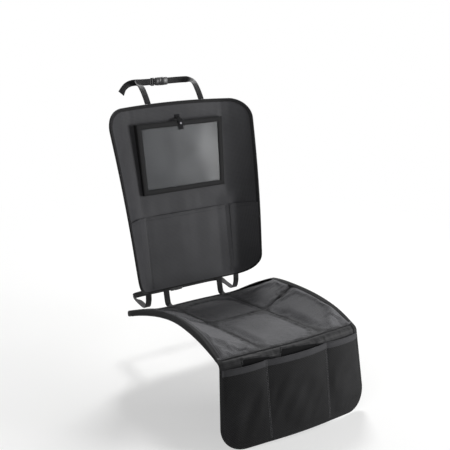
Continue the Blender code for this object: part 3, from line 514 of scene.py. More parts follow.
def new_piece(name, verts, faces, kind, uv=None, replaces=()):
    """Link a mesh piece that rides on the root body, with its material."""
    mesh = bpy.data.meshes.new(name)
    mesh.from_pydata([tuple(v) for v in verts], [], faces)
    if uv is not None:
        layer = mesh.uv_layers.new(name="UVMap")
        loops = np.zeros(len(mesh.loops), np.int32)
        mesh.loops.foreach_get("vertex_index", loops)
        layer.data.foreach_set("uv", np.asarray(uv, np.float32)[loops].ravel())
    mesh.materials.append(finish_of(kind))
    mesh.shade_smooth()
    mesh.set_sharp_from_angle(angle=math.radians(55))
    mesh.update()
    obj = bpy.data.objects.new(name, mesh)
    bpy.context.scene.collection.objects.link(obj)
    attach(obj, "root")
    if replaces:
        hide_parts(*replaces)
    return obj


def face_outward(obj):
    """Turn a closed piece's faces to the outside."""
    bm = bmesh.new()
    bm.from_mesh(obj.data)
    bmesh.ops.recalc_face_normals(bm, faces=bm.faces)
    bm.to_mesh(obj.data)
    bm.free()


def grid_quads(index):
    """Return the four entries of each cell of a grid, as an array of quads."""
    corners = (index[:-1, :-1], index[:-1, 1:], index[1:, 1:], index[1:, :-1])
    return np.stack([corner.ravel() for corner in corners], -1)


def sheet_piece(name, low, high, kind, uv, replaces=()):
    """Close the space between two grids of points into one piece."""
    count = low.shape[0] * low.shape[1]
    index = np.arange(count).reshape(low.shape[:2])
    cells = grid_quads(index)
    faces = (cells + count).tolist() + cells[:, [0, 3, 2, 1]].tolist()
    rim = border_walk(index)
    for here, there in zip(rim, rim[1:] + rim[:1]):
        faces.append((here, there, there + count, here + count))
    verts = np.concatenate([low.reshape(-1, 3), high.reshape(-1, 3)])
    flat = uv.reshape(-1, 2)
    obj = new_piece(name, verts, faces, kind, np.concatenate([flat, flat]), replaces)
    face_outward(obj)
    return obj


def layer_piece(name, place, low, high, kind, flat, replaces=()):
    """Make a sheet between two heights over placed points, with its flat grids as its UV."""
    points, normals = place
    low, high = np.asarray(low)[..., None], np.asarray(high)[..., None]
    return sheet_piece(name, points + normals * low, points + normals * high, kind,
                       np.stack(flat, -1), replaces)


def border_walk(index):
    """List the entries of a grid's border in order."""
    walk = index[0, :-1].tolist() + index[:-1, -1].tolist()
    return walk + index[-1, :0:-1].tolist() + index[:0:-1, 0].tolist()


def sweep_piece(name, rings, kind, uv=None, closed=True, replaces=()):
    """Skin rings of points into one piece, either as a loop or with flat ends."""
    rings = np.asarray(rings)
    count, around = rings.shape[:2]
    faces = []
    for k in range(count if closed else count - 1):
        near, far = k * around, ((k + 1) % count) * around
        for i in range(around):
            j = (i + 1) % around
            faces.append((near + i, near + j, far + j, far + i))
    if not closed:
        faces.append(tuple(range(around - 1, -1, -1)))
        faces.append(tuple(range((count - 1) * around, count * around)))
    obj = new_piece(name, rings.reshape(-1, 3), faces, kind, uv, replaces)
    face_outward(obj)
    return obj


def run_along(points):
    """Return the distance along a line of points at each of them, from 0."""
    return np.concatenate([[0], np.cumsum(np.linalg.norm(np.diff(points, axis=0), axis=1))])


def resample(points, normals, pitch, closed=False):
    """Return evenly spaced points, directions and normals along a line."""
    points, normals = np.asarray(points, float), np.asarray(normals, float)
    if closed:
        points, normals = np.vstack([points, points[:1]]), np.vstack([normals, normals[:1]])
    length = run_along(points)
    count = max(2, int(length[-1] / pitch))
    at = (np.arange(count) + 0.5) * length[-1] / count

    def read(values, where):
        return np.stack([np.interp(where, length, values[:, n]) for n in range(3)], -1)

    place, up = read(points, at), read(normals, at)
    ahead, behind = read(points, at + pitch / 4), read(points, at - pitch / 4)
    along = ahead - behind
    along /= np.maximum(np.linalg.norm(along, axis=1, keepdims=True), 1e-9)
    up -= along * (up * along).sum(1, keepdims=True)
    up /= np.maximum(np.linalg.norm(up, axis=1, keepdims=True), 1e-9)
    return place, along, up


def stitch_piece(name, lines, size, pitch=None, kind="thread"):
    """Sew rows of short thread stitches along lines, each of points, normals and if it is closed."""
    pitch = pitch or size.stitch_pitch
    long, radius, sink = pitch * 0.36, size.thread_radius, size.thread_radius * 0.35
    sides = 6
    verts, faces = [], []
    turns = [(math.cos(t), math.sin(t)) for t in np.linspace(0, 2 * math.pi, sides, endpoint=False)]
    for points, normals, closed in lines:
        place, along, up = resample(points, normals, pitch, closed)
        side = np.cross(along, up)
        for p, f, u, s in zip(place, along, up, side):
            base = len(verts)
            for reach, full, lift in ((-1, 0.35, -0.8), (-0.6, 1, 0), (0.6, 1, 0), (1, 0.35, -0.8)):
                centre = p + f * reach * long + u * (sink + lift * radius)
                for c, n in turns:
                    verts.append(centre + s * (c * radius * full) + u * (n * radius * full))
            for near in range(base, base + 3 * sides, sides):
                for i in range(sides):
                    j = (i + 1) % sides
                    faces.append((near + i, near + j, near + sides + j, near + sides + i))
            faces.append(tuple(base + i for i in reversed(range(sides))))
            faces.append(tuple(base + 3 * sides + i for i in range(sides)))
    return new_piece(name, verts, faces, kind)


def rim_of(points, normals):
    """Return a grid's border as points and normals in order."""
    index = np.arange(points.shape[0] * points.shape[1]).reshape(points.shape[:2])
    walk = border_walk(index)
    return points.reshape(-1, 3)[walk], normals.reshape(-1, 3)[walk]


def outward_of(points, normals):
    """Return the direction out of the sheet at each point of a closed border."""
    along = np.roll(points, -1, 0) - np.roll(points, 1, 0)
    out = np.cross(along, normals)
    return out / np.linalg.norm(out, axis=1, keepdims=True)


def tape_rings(points, normals, low, high, lap, reach):
    """Return the rings of a tape folded over an edge, which lies on both faces and is round outside."""
    out = outward_of(points, normals)
    rings = []
    for n in range(len(points)):
        outer = tape_fold(low[n], high[n], lap, reach, 0.0)
        inner = tape_fold(low[n], high[n], lap, reach, TAPE_THICK)
        rings.append([points[n] + out[n] * o + normals[n] * d for o, d in outer + inner[::-1]])
    return np.array(rings), out


def tape_fold(low, high, lap, reach, inset):
    """Return one face of a folded tape in section, set in by its thickness or not."""
    low, high, reach = low + inset, high - inset, reach - inset
    bulge = min((high - low) / 2, reach * 0.9)
    middle = (low + high) / 2
    fold = [(-lap, low), (-lap / 2, low), (0.0, low)]
    for turn in np.linspace(-90, 90, 9):
        c, s = math.cos(math.radians(turn)), math.sin(math.radians(turn))
        rise = ((high - low) / 2 - bulge) * np.sign(s) + bulge * s
        fold.append((reach - bulge + bulge * c, middle + rise))
    return fold + [(0.0, high), (-lap / 2, high), (-lap, high)]


def tape_uv(rings):
    """Return a UV in metres for the rings of a tape: along it and round it."""
    return ring_uv(run_along(rings[:, 7]), run_along(rings[0]))


def ring_uv(along, round_it):
    """Return the UV of rings by the distances along them and round them."""
    return np.stack(np.meshgrid(along, round_it, indexing="ij"), -1).reshape(-1, 2)


def bind_edge(name, rim, normals, high, lap, size, replaces):
    """Fold a tape over a closed edge and stitch it down on both faces."""
    low = np.full(len(rim), -TAPE_BEHIND)
    rings, out = tape_rings(rim, normals, low, high, lap, TAPE_REACH)
    tape = sweep_piece(name + "_tape", rings, "tape", tape_uv(rings), replaces=replaces)
    line = rim - out * (lap - STITCH_INSET)
    threads = stitch_piece(name + "_stitches", [(line + normals * high[:, None], normals, True),
                                                (line - normals * TAPE_BEHIND, -normals, True)], size)
    return tape, threads


def corner_rows(count):
    """Return evenly spaced angles from a quarter turn down to zero."""
    return np.linspace(math.pi / 2, 0, count)


ACROSS, UPRIGHT = Vector((1, 0, 0)), Vector((0, 0, 1))
SIDES = ((-1, "left"), (1, "right"))


# Backrest panel and its window pocket


def panel_grid():
    """Return the fine grids of the panel: side position and height."""
    rows = []
    for angle in corner_rows(12):
        h = PANEL_FOOT + PANEL_CORNER_FOOT * (1 - math.sin(angle))
        rows.append((h, panel_side(h) - PANEL_CORNER_FOOT * (1 - math.cos(angle))))
    for h in np.linspace(rows[-1][0], PANEL_TOP - PANEL_CORNER_TOP, 78)[1:-1]:
        rows.append((h, panel_side(h)))
    for angle in corner_rows(13)[::-1]:
        h = PANEL_TOP - PANEL_CORNER_TOP * (1 - math.sin(angle))
        rows.append((h, panel_side(h) - PANEL_CORNER_TOP * (1 - math.cos(angle))))
    inner = np.concatenate([np.linspace(0, POCKET_SEAM_X - 0.006, 28),
                            POCKET_SEAM_X + np.array([-0.004, -0.002, 0, 0.002, 0.004]),
                            [PANEL_FLAT_HALF]])
    outer = np.linspace(0, 1, 16)[1:]
    xs, hs = [], []
    for h, half in rows:
        right = np.concatenate([inner, PANEL_FLAT_HALF + (half - PANEL_FLAT_HALF) * outer])
        x = np.concatenate([-right[:0:-1], right])
        high = max(0.0, (h - POCKET_MOUTH) / (PANEL_TOP - POCKET_MOUTH)) ** 4
        xs.append(x)
        hs.append(h - PANEL_TOP_ARCH * high * (x / half) ** 2)
    return np.array(xs), np.array(hs)


def panel_folds(x, h, height):
    """Return the soft upright folds of the panel's cloth."""
    soft = ripple(x, h, 13.0, 2.2, 3.1) + 0.6 * ripple(x, h, 34.0, 4.0, 8.4)
    slack = 0.35 + 0.65 * fade(h, 0.05, 0.30)
    pull = np.zeros_like(x)
    for side in (-1, 1):
        away = np.hypot((x - side * TOP_STRAP_X) * 1.1, PANEL_TOP - h)
        pull += np.exp(-(away / 0.075) ** 2) * np.cos((x - side * TOP_STRAP_X) * 230) * 0.7
    return height * (soft * slack + pull)


def side_turn(x, h):
    """Return how far the pockets' row turns forward before the panel's own curl begins."""
    share = np.where(x > 0, 1.0, 0.3)
    ramp = np.maximum(0.0, np.abs(x) - TURN_START) * TURN_SLOPE
    gone = panel_curl(x, h)
    low = 1 - fade(h, POCKET_MOUTH + 0.004, WINDOW_FOOT - 0.012)
    return share * np.maximum(0.0, ramp - gone) * low * fade(h, PANEL_FOOT, PANEL_FOOT + 0.03)


def pocket_bulge(x, h):
    """Return how far the lower pockets stand off the panel."""
    rise = np.sin(math.pi / 2 * np.clip((h - PANEL_FOOT) / (POCKET_MOUTH - PANEL_FOOT), 0, 1)) ** 1.2
    side = panel_side(h)
    middle = np.clip(1 - (np.abs(x) / (POCKET_SEAM_X - 0.003)) ** 3, 0, 1) * 0.8
    a = np.clip((np.abs(x) - POCKET_SEAM_X - 0.003) / (side - POCKET_SEAM_X - 0.003), 0, 1)
    outer = np.sin(math.pi * a) ** 1.1 * 0.6
    inside = np.abs(x) < POCKET_SEAM_X
    return POCKET_GAPE * rise * np.where(inside, middle, outer)


def pocket_faces(x, h, size):
    """Return the heights of the pocket cloth's inner and outer face, thicker at its mouth."""
    loose = pocket_bulge(x, h)
    folds = ripple(x, h, 16.0, 3.0, 21.0) + 0.6 * ripple(x, h, 34.0, 7.0, 5.5)
    slack = folds * size.panel_fold * 0.9 * np.clip(loose / POCKET_GAPE, 0, 1)
    low = PANEL_THICK + SHEET_GAP + np.maximum(0.0, loose + slack) + side_turn(x, h)
    return low, low + 0.0013 + 0.0007 * fade(h, POCKET_MOUTH - 0.012, POCKET_MOUTH - 0.009)


class PROTECTOR_OT_panel(bpy.types.Operator):
    """Make the backrest panel's cloth, the row of pockets on it and its bound edge"""
    bl_idname = "protector.panel"
    bl_label = "Backrest panel"

    def execute(self, context):
        size = context.scene.protector_sizes
        x, h = panel_grid()
        points, normals = with_normals(panel_face, x, h, 1)
        folds = panel_folds(x, h, size.panel_fold)
        edge = 1 - fade(np.abs(x) / np.abs(x).max(axis=1, keepdims=True), 0.90, 1.0)
        covered = 1 - fade(h, WINDOW_FOOT - 0.03, WINDOW_FOOT) * fade(-np.abs(x), -0.165, -0.14) * 0.9
        lift = np.clip(folds * edge * covered, -0.0012, 0.005) + side_turn(x, h)
        panel = layer_piece("panel_cloth", (points, normals), 0.0, PANEL_THICK + lift, "panel", (x, h),
                            ["back_panel"])

        rim, lean = rim_of(points, normals)
        high = np.full(len(rim), PANEL_THICK + TAPE_PROUD)
        tape, threads = bind_edge("panel_binding", rim, lean, high, size.tape_lap, size,
                                  ["back_panel_binding"])
        self.pockets(size, panel)
        return {"FINISHED"}

    def pockets(self, size, panel):
        """Make the row of pockets on the panel's lower half, their hem and their seams."""
        x, h = panel_grid()
        keep = h[:, 0] <= POCKET_MOUTH + 0.004
        x, h = x[keep], h[keep]
        h = PANEL_FOOT + (h - PANEL_FOOT) * (POCKET_MOUTH - PANEL_FOOT) / (h[-1].max() - PANEL_FOOT)
        low, high = pocket_faces(x, h, size)
        cloth = layer_piece("lower_pocket_cloth", with_normals(panel_face, x, h, 1), low, high, "panel",
                            (x, h), ["lower_pockets"])
        seams = []
        run = np.linspace(PANEL_FOOT + 0.004, POCKET_MOUTH - 0.001, 60)
        for side in (-1, 1):
            for offset in (-0.0016, 0.0016):
                seams.append(self.line_on(np.full(60, side * POCKET_SEAM_X + offset), run, size))
        across = np.linspace(-1, 1, 160) * (panel_side(POCKET_MOUTH) - 0.005)
        for below in (0.0100, 0.0030):
            seams.append(self.line_on(across, np.full(160, POCKET_MOUTH - below), size))
        threads = stitch_piece("lower_pocket_stitches", seams, size)

    def line_on(self, x, h, size):
        """Return a stitched line on the pockets' face as points, normals and closed or not."""
        points, normals = with_normals(panel_face, x, h, 1)
        return points + normals * pocket_faces(x, h, size)[1][..., None], normals, False


class PROTECTOR_OT_window(bpy.types.Operator):
    """Make the window pocket: gusset, clear film, sewn frame, closing tab and snap"""
    bl_idname = "protector.window"
    bl_label = "Window pocket"

    def execute(self, context):
        size = context.scene.protector_sizes
        half, foot, top = WINDOW_WIDTH / 2, WINDOW_FOOT, WINDOW_FOOT + WINDOW_HEIGHT
        film = self.film(half, foot, top)
        tape = self.frame_tape(size, half, foot, top)
        self.gussets(half, foot, top)
        self.tab(size, top)
        return {"FINISHED"}

    def film(self, half, foot, top):
        """Make the clear film, slightly bulged, as one thin sheet."""
        x, h = np.meshgrid(np.linspace(-half, half, 56), np.linspace(foot, top, 44))
        across = 1 - (x / half) ** 2
        along = 1 - ((h - foot) / (top - foot) - 0.45) ** 2 / 0.3025
        puff = 0.0022 * np.clip(across, 0, 1) * np.clip(along, 0, 1) + 0.0004 * ripple(x, h, 22, 9, 2.0)
        low = 0.0004 + np.maximum(puff, 0)
        return layer_piece("window_clear_film", with_normals(window_face, x, h, 1), low, low + 0.0006,
                           "film", (x, h), ["window_film"])

    def frame_tape(self, size, half, foot, top):
        """Make the tape that frames the film, with rounded edges and two rows of stitches."""
        corners = np.array([(-half, foot), (half, foot), (half, top), (-half, top)])
        share = np.linspace(0, 1, 40, endpoint=False)[:, None]
        walk = [a + (b - a) * share for a, b in zip(corners, np.roll(corners, -1, 0))]
        outer = np.concatenate(walk)
        wide = size.window_tape
        inner = np.clip(outer, (-half + wide, foot + wide), (half - wide, top - wide))

        def across(part, lift):
            """Return the tape's points and normals at a part of its width and at a height."""
            x, h = (outer + (inner - outer) * part).T
            points, normals = with_normals(window_face, x, h, 1)
            return points + normals * lift, normals

        rings = np.stack([across(part, lift)[0] for part, lift in FRAME_SECTION], 1)
        uv = ring_uv(run_along(rings[:, 0]), np.linspace(0, wide, len(FRAME_SECTION)))
        tape = sweep_piece("window_frame_tape", rings, "tape", uv, replaces=["window_frame"])
        stitch_piece("window_frame_stitches", [(*across(part, 0.0034), True) for part in (0.16, 0.86)],
                     size)
        return tape

    def gussets(self, half, foot, top):
        """Make the three folded walls between the panel and the film."""
        rise = np.linspace(foot, top, 30)
        runs = {"left": ([(-half, h) for h in rise], (1, 0)),
                "right": ([(half, h) for h in rise], (-1, 0)),
                "bottom": ([(x, foot) for x in np.linspace(-half, half, 40)], (0, 1))}
        steps = (0, 0.35, 0.5, 0.65, 1)
        section = [(share, 0.0016 * math.sin(math.pi * share)) for share in steps]
        section += [(share, 0.0034 + 0.0012 * math.sin(math.pi * share)) for share in steps[::-1]]
        for name, (run, inward) in runs.items():
            rings = [[self.wall_point(x, h, share, inset, inward) for share, inset in section]
                     for x, h in run]
            uv = ring_uv(np.linspace(0, 0.25, len(run)), np.linspace(0, 0.04, len(section)))
            sweep_piece("window_gusset_cloth_" + name, rings, "tape", uv, closed=False,
                        replaces=["window_gusset_" + name])

    def wall_point(self, x, h, share, inset, inward):
        """Return a point of a gusset between the panel and the film, set in from its outline."""
        x, h = x + inward[0] * inset, h + inward[1] * inset
        far = window_face(x, h)
        near = on_back(far[0], h, PANEL_THICK + 0.0004)
        return near + (far - near) * share

    def tab(self, size, top):
        """Make the closing tab over the pocket's mouth, and its snap."""
        edge = PANEL_THICK + 0.0012
        stops = [on_back(0, top + TAB_ABOVE, edge), on_back(0, top + 0.011, edge)]
        for h in (top + 0.0018, top - 0.012, top - TAB_BELOW):
            stops.append(window_face(0.0, h) + on_back(0, 0, 0.0046))
        strap_piece("window_tab_tape", [(stop, ACROSS) for stop in stops], "loop", ["window_tab"],
                    TAB_WIDTH, TAB_THICK)
        centre = window_face(0.0, top - 0.008) + on_back(0, 0, 0.0056)
        up, out = Vector(on_back(0, 1, 0)), Vector(on_back(0, 0, 1))
        turn_piece("window_snap_cap", Vector(centre), out, up, size.snap_scale, "metal",
                   [(0.0, 0.0017), (0.0016, 0.0017), (0.0021, 0.0012), (0.0028, 0.0013), (0.0034, 0.0019),
                    (0.0041, 0.0017), (0.0045, 0.0010), (0.0045, 0.0)], ["window_snap"])


def turn_piece(name, centre, axis, start, scale, kind, profile, replaces=()):
    """Turn a profile of radius and height round an axis into one closed piece."""
    side = axis.cross(start).normalized()
    start = side.cross(axis).normalized()
    rings = []
    for radius, height in profile:
        ring = []
        for t in np.linspace(0, 2 * math.pi, 32, endpoint=False):
            spread = max(radius, 0.00005) * scale
            ring.append(centre + start * (spread * math.cos(t)) + side * (spread * math.sin(t))
                        + axis * (height * scale))
        rings.append(ring)
    return sweep_piece(name, np.array(rings), kind, closed=False, replaces=replaces)


# Cushion mat and its front flap


def mat_grid(fine=1.0):
    """Return the mat's fine grids: side position, distance forward, and that on the centre line."""
    rear = MAT_REAR + MAT_REAR_BOW
    rows = []
    for angle in corner_rows(15):
        w = 1 - angle / (math.pi / 2)
        s = rear + MAT_CORNER * (1 - math.sin(angle))
        half = mat_side(s) - MAT_CORNER * (1 - math.cos(angle))
        start = MAT_REAR + (s - rear) + REAR_HEM * (1 - w) * min(1.0, w / 0.25)
        rows.append((start, s - start, half))
    first, swept = rows[-1][0], rows[-1][1]
    for s in np.linspace(first, CROSS_SEAM, int(34 * fine))[1:]:
        share = (s - first) / (CROSS_SEAM - first)
        sweep = swept * (1 - share) - CROSS_SWEEP * share
        rows.append((s, sweep, mat_side(s + sweep)))
    for s in np.linspace(CROSS_SEAM, MAT_FRONT, int(54 * fine))[1:]:
        share = (s - CROSS_SEAM) / (MAT_FRONT - CROSS_SEAM)
        sweep = -CROSS_SWEEP * (1 - share) - MAT_FRONT_BOW * share
        rows.append((s, sweep, mat_side(s + sweep)))
    inner = np.concatenate([np.linspace(0, GROOVE_X - 0.009, int(20 * fine)),
                            GROOVE_X + np.array([-0.006, -0.003, 0])])
    outer = np.concatenate([[0.02, 0.045, 0.075], np.linspace(0.11, 0.88, int(20 * fine)),
                            [0.91, 0.935, 0.955, 0.975, 1.0]])
    xs, ss, starts = [], [], []
    for start, sweep, half in rows:
        right = np.concatenate([inner, GROOVE_X + (half - GROOVE_X) * outer])
        x = np.concatenate([-right[:0:-1], right])
        xs.append(x)
        ss.append(start + sweep * (x / half) ** 2)
        starts.append(np.full(len(x), start))
    return np.array(xs), np.array(ss), np.array(starts)


def tape_top(x, s, size):
    """Return the height of the mat's binding over the underside: tall along the raised sides."""
    rise = fade(np.abs(x), CONNECTOR_X + 1.5 * STRAP_WIDTH, MAT_HALF_FRONT - size.edge_stand)
    return MAT_BASE + 0.0030 + size.edge_stand * rise * (1 - 0.85 * fade(s, 0.44, 0.535))


def quilt_height(x, s, start, size):
    """Return the height of the quilted top over the backing: crowned pads between sewn seams."""
    half = np.abs(x).max(axis=1, keepdims=True)
    centre = np.abs(x) <= GROOVE_X
    outer = np.clip((np.abs(x) - GROOVE_X) / (half - GROOVE_X), 0, 1)
    inner_rise = np.where(centre, 1 - (np.abs(x) / GROOVE_X) ** size.pad_squareness,
                          1 - (1 - np.clip(outer / 0.45, 0, 1)) ** size.pad_squareness)
    rear = np.clip((start - 0.038) / (CROSS_SEAM - 0.038), 0, 1)
    front = np.clip((start - CROSS_SEAM) / (MAT_FRONT - CROSS_SEAM), 0, 1)
    flank = fade(np.where(centre, x + GROOVE_X, x - GROOVE_X), 0.0, size.flank_width)
    pulled = ((x < 0) & centre | (x > GROOVE_X)) * fade(front, 0.05, 0.55)
    inner_rise = inner_rise * (1 - pulled) + flank * pulled
    behind = fade(rear, -0.05, 0.50) * (1 - np.abs(rear) ** 14)
    ahead = (1 - (1 - np.clip(front / 0.35, 0, 1)) ** 2.2) * (1 - front ** 9)
    along = np.where(start < CROSS_SEAM, behind, ahead)
    full = (np.clip(inner_rise, 0, 1) * np.clip(along, 0, 1)) ** size.pad_roundness
    top = np.where(centre, size.pad_centre, size.pad_side)
    height = size.seam_height + (top - size.seam_height) * full
    inward = np.minimum(half - np.abs(x), start - MAT_REAR)
    limit = tape_top(x, s, size) - MAT_BASE - 0.0004 - TAPE_THICK - 0.0005
    slope = size.tape_slope * np.maximum(0.0, inward - size.mat_tape_lap)
    under = limit + slope
    blend = np.clip(0.5 + (under - height) / 0.006, 0, 1)
    height = height * blend + under * (1 - blend) - 0.003 * blend * (1 - blend)
    return np.maximum(height, 0.0008), full, inward


class PROTECTOR_OT_mat(bpy.types.Operator):
    """Make the mat: its dotted backing and its quilted top with sewn grooves"""
    bl_idname = "protector.mat"
    bl_label = "Cushion mat"

    def execute(self, context):
        size = context.scene.protector_sizes
        x, s, _ = mat_grid(0.6)
        backing = layer_piece("mat_grip_backing", with_normals(mat_face, x, s, -1), 0.0, MAT_BASE,
                              "backing", (x, s), ["mat_backing"])

        x, s, start = mat_grid()
        points, normals = with_normals(mat_face, x, s, -1)
        height, full, inward = quilt_height(x, s, start, size)
        near = np.clip(full * (1 - full) * 4, 0, 1) * fade(inward, 0.012, 0.03)
        pucker = ripple(x, s, 75.0, 75.0, 12.0) * near * size.pad_pucker
        lumps = ripple(x, s, 17.0, 17.0, 4.0) * 0.0012 * full
        base = points + normals * (MAT_BASE + 0.0004)
        high = base + normals * (height + pucker + lumps)[..., None]
        high = self.puff(high, height, inward, size)
        top = sheet_piece("quilted_top", base, high, "pad", np.stack([x, s], -1), [
            "pad_left_rear", "pad_left_front", "pad_centre_rear", "pad_centre_front",
            "pad_right_rear", "pad_right_front"])
        # Painted shade for the grooves: 1 beside the seams, fading to 0 on the pads' crowns; the pad cloth
        # darkens by it.
        groove_shade_share = np.clip(1 - full / 0.42, 0, 1) * fade(inward, 0.004, 0.02) * 0.85
        pressed = top.data.attributes.new("pressed", "FLOAT", "POINT")
        pressed.data.foreach_set("value", np.concatenate([groove_shade_share.ravel()] * 2).astype(np.float32))
        stitch_piece("quilting_stitches", self.seam_lines(x, start, high, normals), size,
                     kind="grey thread")
        return {"FINISHED"}

    def puff(self, high, height, inward, size):
        """Inflate the quilted top with a cloth simulation that is held at its seams and edges."""
        rows, cols = high.shape[:2]
        cells = grid_quads(np.arange(rows * cols).reshape(rows, cols))
        mesh = bpy.data.meshes.new("quilt_simulation")
        mesh.from_pydata([tuple(p) for p in high.reshape(-1, 3)], [], cells.tolist())
        obj = bpy.data.objects.new("quilt_simulation", mesh)
        bpy.context.scene.collection.objects.link(obj)
        held = obj.vertex_groups.new(name="held")
        low = (height < size.seam_height + 0.0030) | (inward < size.mat_tape_lap + 0.008)
        low[[0, -1]] = True
        low[:, [0, -1]] = True
        held.add(np.flatnonzero(low.ravel()).tolist(), 1.0, "REPLACE")
        cloth = obj.modifiers.new("puff", "CLOTH")
        for key, value in (("quality", 6), ("mass", 0.25), ("vertex_group_mass", held.name),
                           ("use_pressure", True), ("uniform_pressure_force", 4.0), ("shrink_min", -0.03),
                           ("tension_stiffness", 20), ("compression_stiffness", 20),
                           ("bending_stiffness", 0.6)):
            setattr(cloth.settings, key, value)
        cloth.settings.effector_weights.gravity = 0.0
        cloth.point_cache.frame_start = 1
        cloth.point_cache.frame_end = PUFF_FRAMES
        for step in range(1, PUFF_FRAMES + 1):
            bpy.context.scene.frame_set(step)
        puffed = obj.evaluated_get(bpy.context.evaluated_depsgraph_get()).to_mesh()
        moved = np.zeros(rows * cols * 3, np.float32)
        puffed.vertices.foreach_get("co", moved)
        moved = moved.reshape(rows, cols, 3).astype(float) - high
        bpy.context.scene.frame_set(1)
        bpy.data.objects.remove(obj)
        bpy.data.meshes.remove(mesh)
        far = np.linalg.norm(moved, axis=-1, keepdims=True)
        moved *= np.minimum(1.0, size.puff_cap / np.maximum(far, 1e-9))
        return high + moved

    def seam_lines(self, x, start, high, normals):
        """Return the sewn lines of the quilting: the long grooves, the cross seams and the hems."""
        first = int(np.argmax(start[:, 0] >= 0.040))
        cross = int(np.argmin(np.abs(start[:, 0] - CROSS_SEAM)))
        middle = x.shape[1] // 2
        groove = int(np.argmin(np.abs(x[0, middle:] - GROOVE_X)))
        columns = [middle + side * groove + beside for side in (-1, 1) for beside in (-1, 1)]
        lines = [(high[first:, column], normals[first:, column], False) for column in columns]
        return lines + [(high[row], normals[row], False) for row in (first, cross, len(start) - 2)]


class PROTECTOR_OT_flap(bpy.types.Operator):
    """Make the front flap with its gathered roll, the pockets' hem and the knitted mesh"""
    bl_idname = "protector.flap"
    bl_label = "Front flap"

    def execute(self, context):
        size = context.scene.protector_sizes
        x, run = flap_grid()
        drop = run[:, 0] - roll_length()
        flap = layer_piece("flap_cloth", with_normals(flap_face, x, run, -1), 0.0,
                           flap_lift(x, run, size), "flap", (x, run), ["front_flap"])
        self.mouth_shadows()

        rows = (drop >= HEM_TOP - 0.0005) & (drop <= HEM_TOP + HEM_HEIGHT + 0.0005)
        points, normals = with_normals(flap_face, x[rows], run[rows], -1)
        low, high = hem_faces(x[rows], run[rows])
        hem = layer_piece("pocket_hem_band", (points, normals), low, high, "hem", (x[rows], run[rows]),
                          ["pocket_hem"])
        lines = []
        for inset in (0.0025, 0.0165):
            row = int(np.argmin(np.abs(drop[rows] - HEM_TOP - inset)))
            lines.append((points[row] + normals[row] * high[row][:, None], normals[row], False))

        rows = drop >= HEM_TOP + HEM_HEIGHT - 0.0005
        low = mesh_lift(x[rows], run[rows], size)
        mesh = layer_piece("mesh_pocket_cloth", with_normals(flap_face, x[rows], run[rows], -1), low,
                           low + 0.0010, "mesh", (x[rows], run[rows]), ["mesh_pockets"])
        dividers = []
        down = np.linspace(roll_length() + HEM_TOP + 0.001, roll_length() + FLAP_DROP - 0.004, 70)
        on_hem = down < roll_length() + HEM_TOP + HEM_HEIGHT
        for side in (-1, 1):
            for offset in (-0.0018, 0.0018):
                across = np.full(len(down), side * GROOVE_X + offset)
                spots, lean = with_normals(flap_face, across, down, -1)
                lift = np.maximum(mesh_lift(across, down, size) + 0.0011,
                                  np.where(on_hem, hem_faces(across, down)[1], 0))
                dividers.append((spots + lean * lift[..., None], lean, False))
        threads = stitch_piece("flap_pocket_stitches", lines, size)
        divider_threads = stitch_piece("mesh_divider_stitches", dividers, size, kind="grey thread")

        edge, lean = with_normals(flap_face, x[0], run[0] + 0.0012, -1)
        stitch_piece("front_seam_stitches", [(edge + lean * (FLAP_THICK + SHEET_GAP), lean, False)], size)
        return {"FINISHED"}

    def mouth_shadows(self):
        """Lay a near-black sheet of painted shadow in each open pocket mouth."""
        hem_top = roll_length() + HEM_TOP
        for (left, right, tall), name in zip(MOUTHS, ("left", "middle")):
            across, down = np.meshgrid(np.linspace(left + 0.001, right - 0.001, 60), np.linspace(0, 1, 10))
            top = hem_top - mouth_edge(across) + 0.0012
            run = top + (hem_top + 0.008 - top) * down
            lining = layer_piece("mouth_lining_" + name, with_normals(flap_face, across, run, -1), 0.0011,
                                 0.0016, "lining", (across, run))


def flap_grid():
    """Return the flap's fine grids: side position and run of cloth from the mat's edge."""
    half = mat_side(MAT_FRONT - MAT_FRONT_BOW)
    rows = [(run - roll_length(), half) for run in np.linspace(0, roll_length(), 24)[:-1]]
    drops = np.concatenate([np.linspace(0, HEM_TOP, 2)[:-1], np.linspace(HEM_TOP, HEM_TOP + HEM_HEIGHT, 9),
                            np.linspace(HEM_TOP + HEM_HEIGHT + 0.0004, FLAP_DROP - FLAP_CORNER, 34)[:-1]])
    for drop in drops:
        rows.append((drop, half + FLAP_FLARE * drop / FLAP_DROP))
    for angle in corner_rows(16)[::-1]:
        drop = FLAP_DROP - FLAP_CORNER * (1 - math.sin(angle))
        rows.append((drop, half + FLAP_FLARE * drop / FLAP_DROP - FLAP_CORNER * (1 - math.cos(angle))))
    inner, outer = np.linspace(0, GROOVE_X, 40), np.linspace(0, 1, 44)[1:]
    xs, runs = [], []
    for drop, wide in rows:
        right = np.concatenate([inner, GROOVE_X + (wide - GROOVE_X) * outer])
        x = np.concatenate([-right[:0:-1], right])
        xs.append(x)
        runs.append(np.full(len(x), drop + roll_length()))
    return np.array(xs), np.array(runs)


def flap_gather(x, run, height):
    """Return the puckers of the cloth on the roll, gathered by the front seam."""
    on_roll = np.sin(math.pi * np.clip(run / (roll_length() + 0.006), 0, 1)) ** 0.8
    wave = ripple(x, run, 70.0, 22.0, 31.0) + 0.7 * ripple(x, run, 150.0, 30.0, 14.0)
    return np.maximum(wave * on_roll * height, -0.0008)


def mouth_edge(x):
    """Return how far above the hem each open pocket mouth reaches: most at its left end."""
    reach = np.zeros_like(x)
    for left, right, tall in MOUTHS:
        share = np.clip((x - left) / (right - left), 0, 1)
        inside = (x > left) & (x < right)
        reach += np.where(inside, tall * (1 - share) ** 0.7 * fade(share, 0.0, 0.06), 0.0)
    return reach


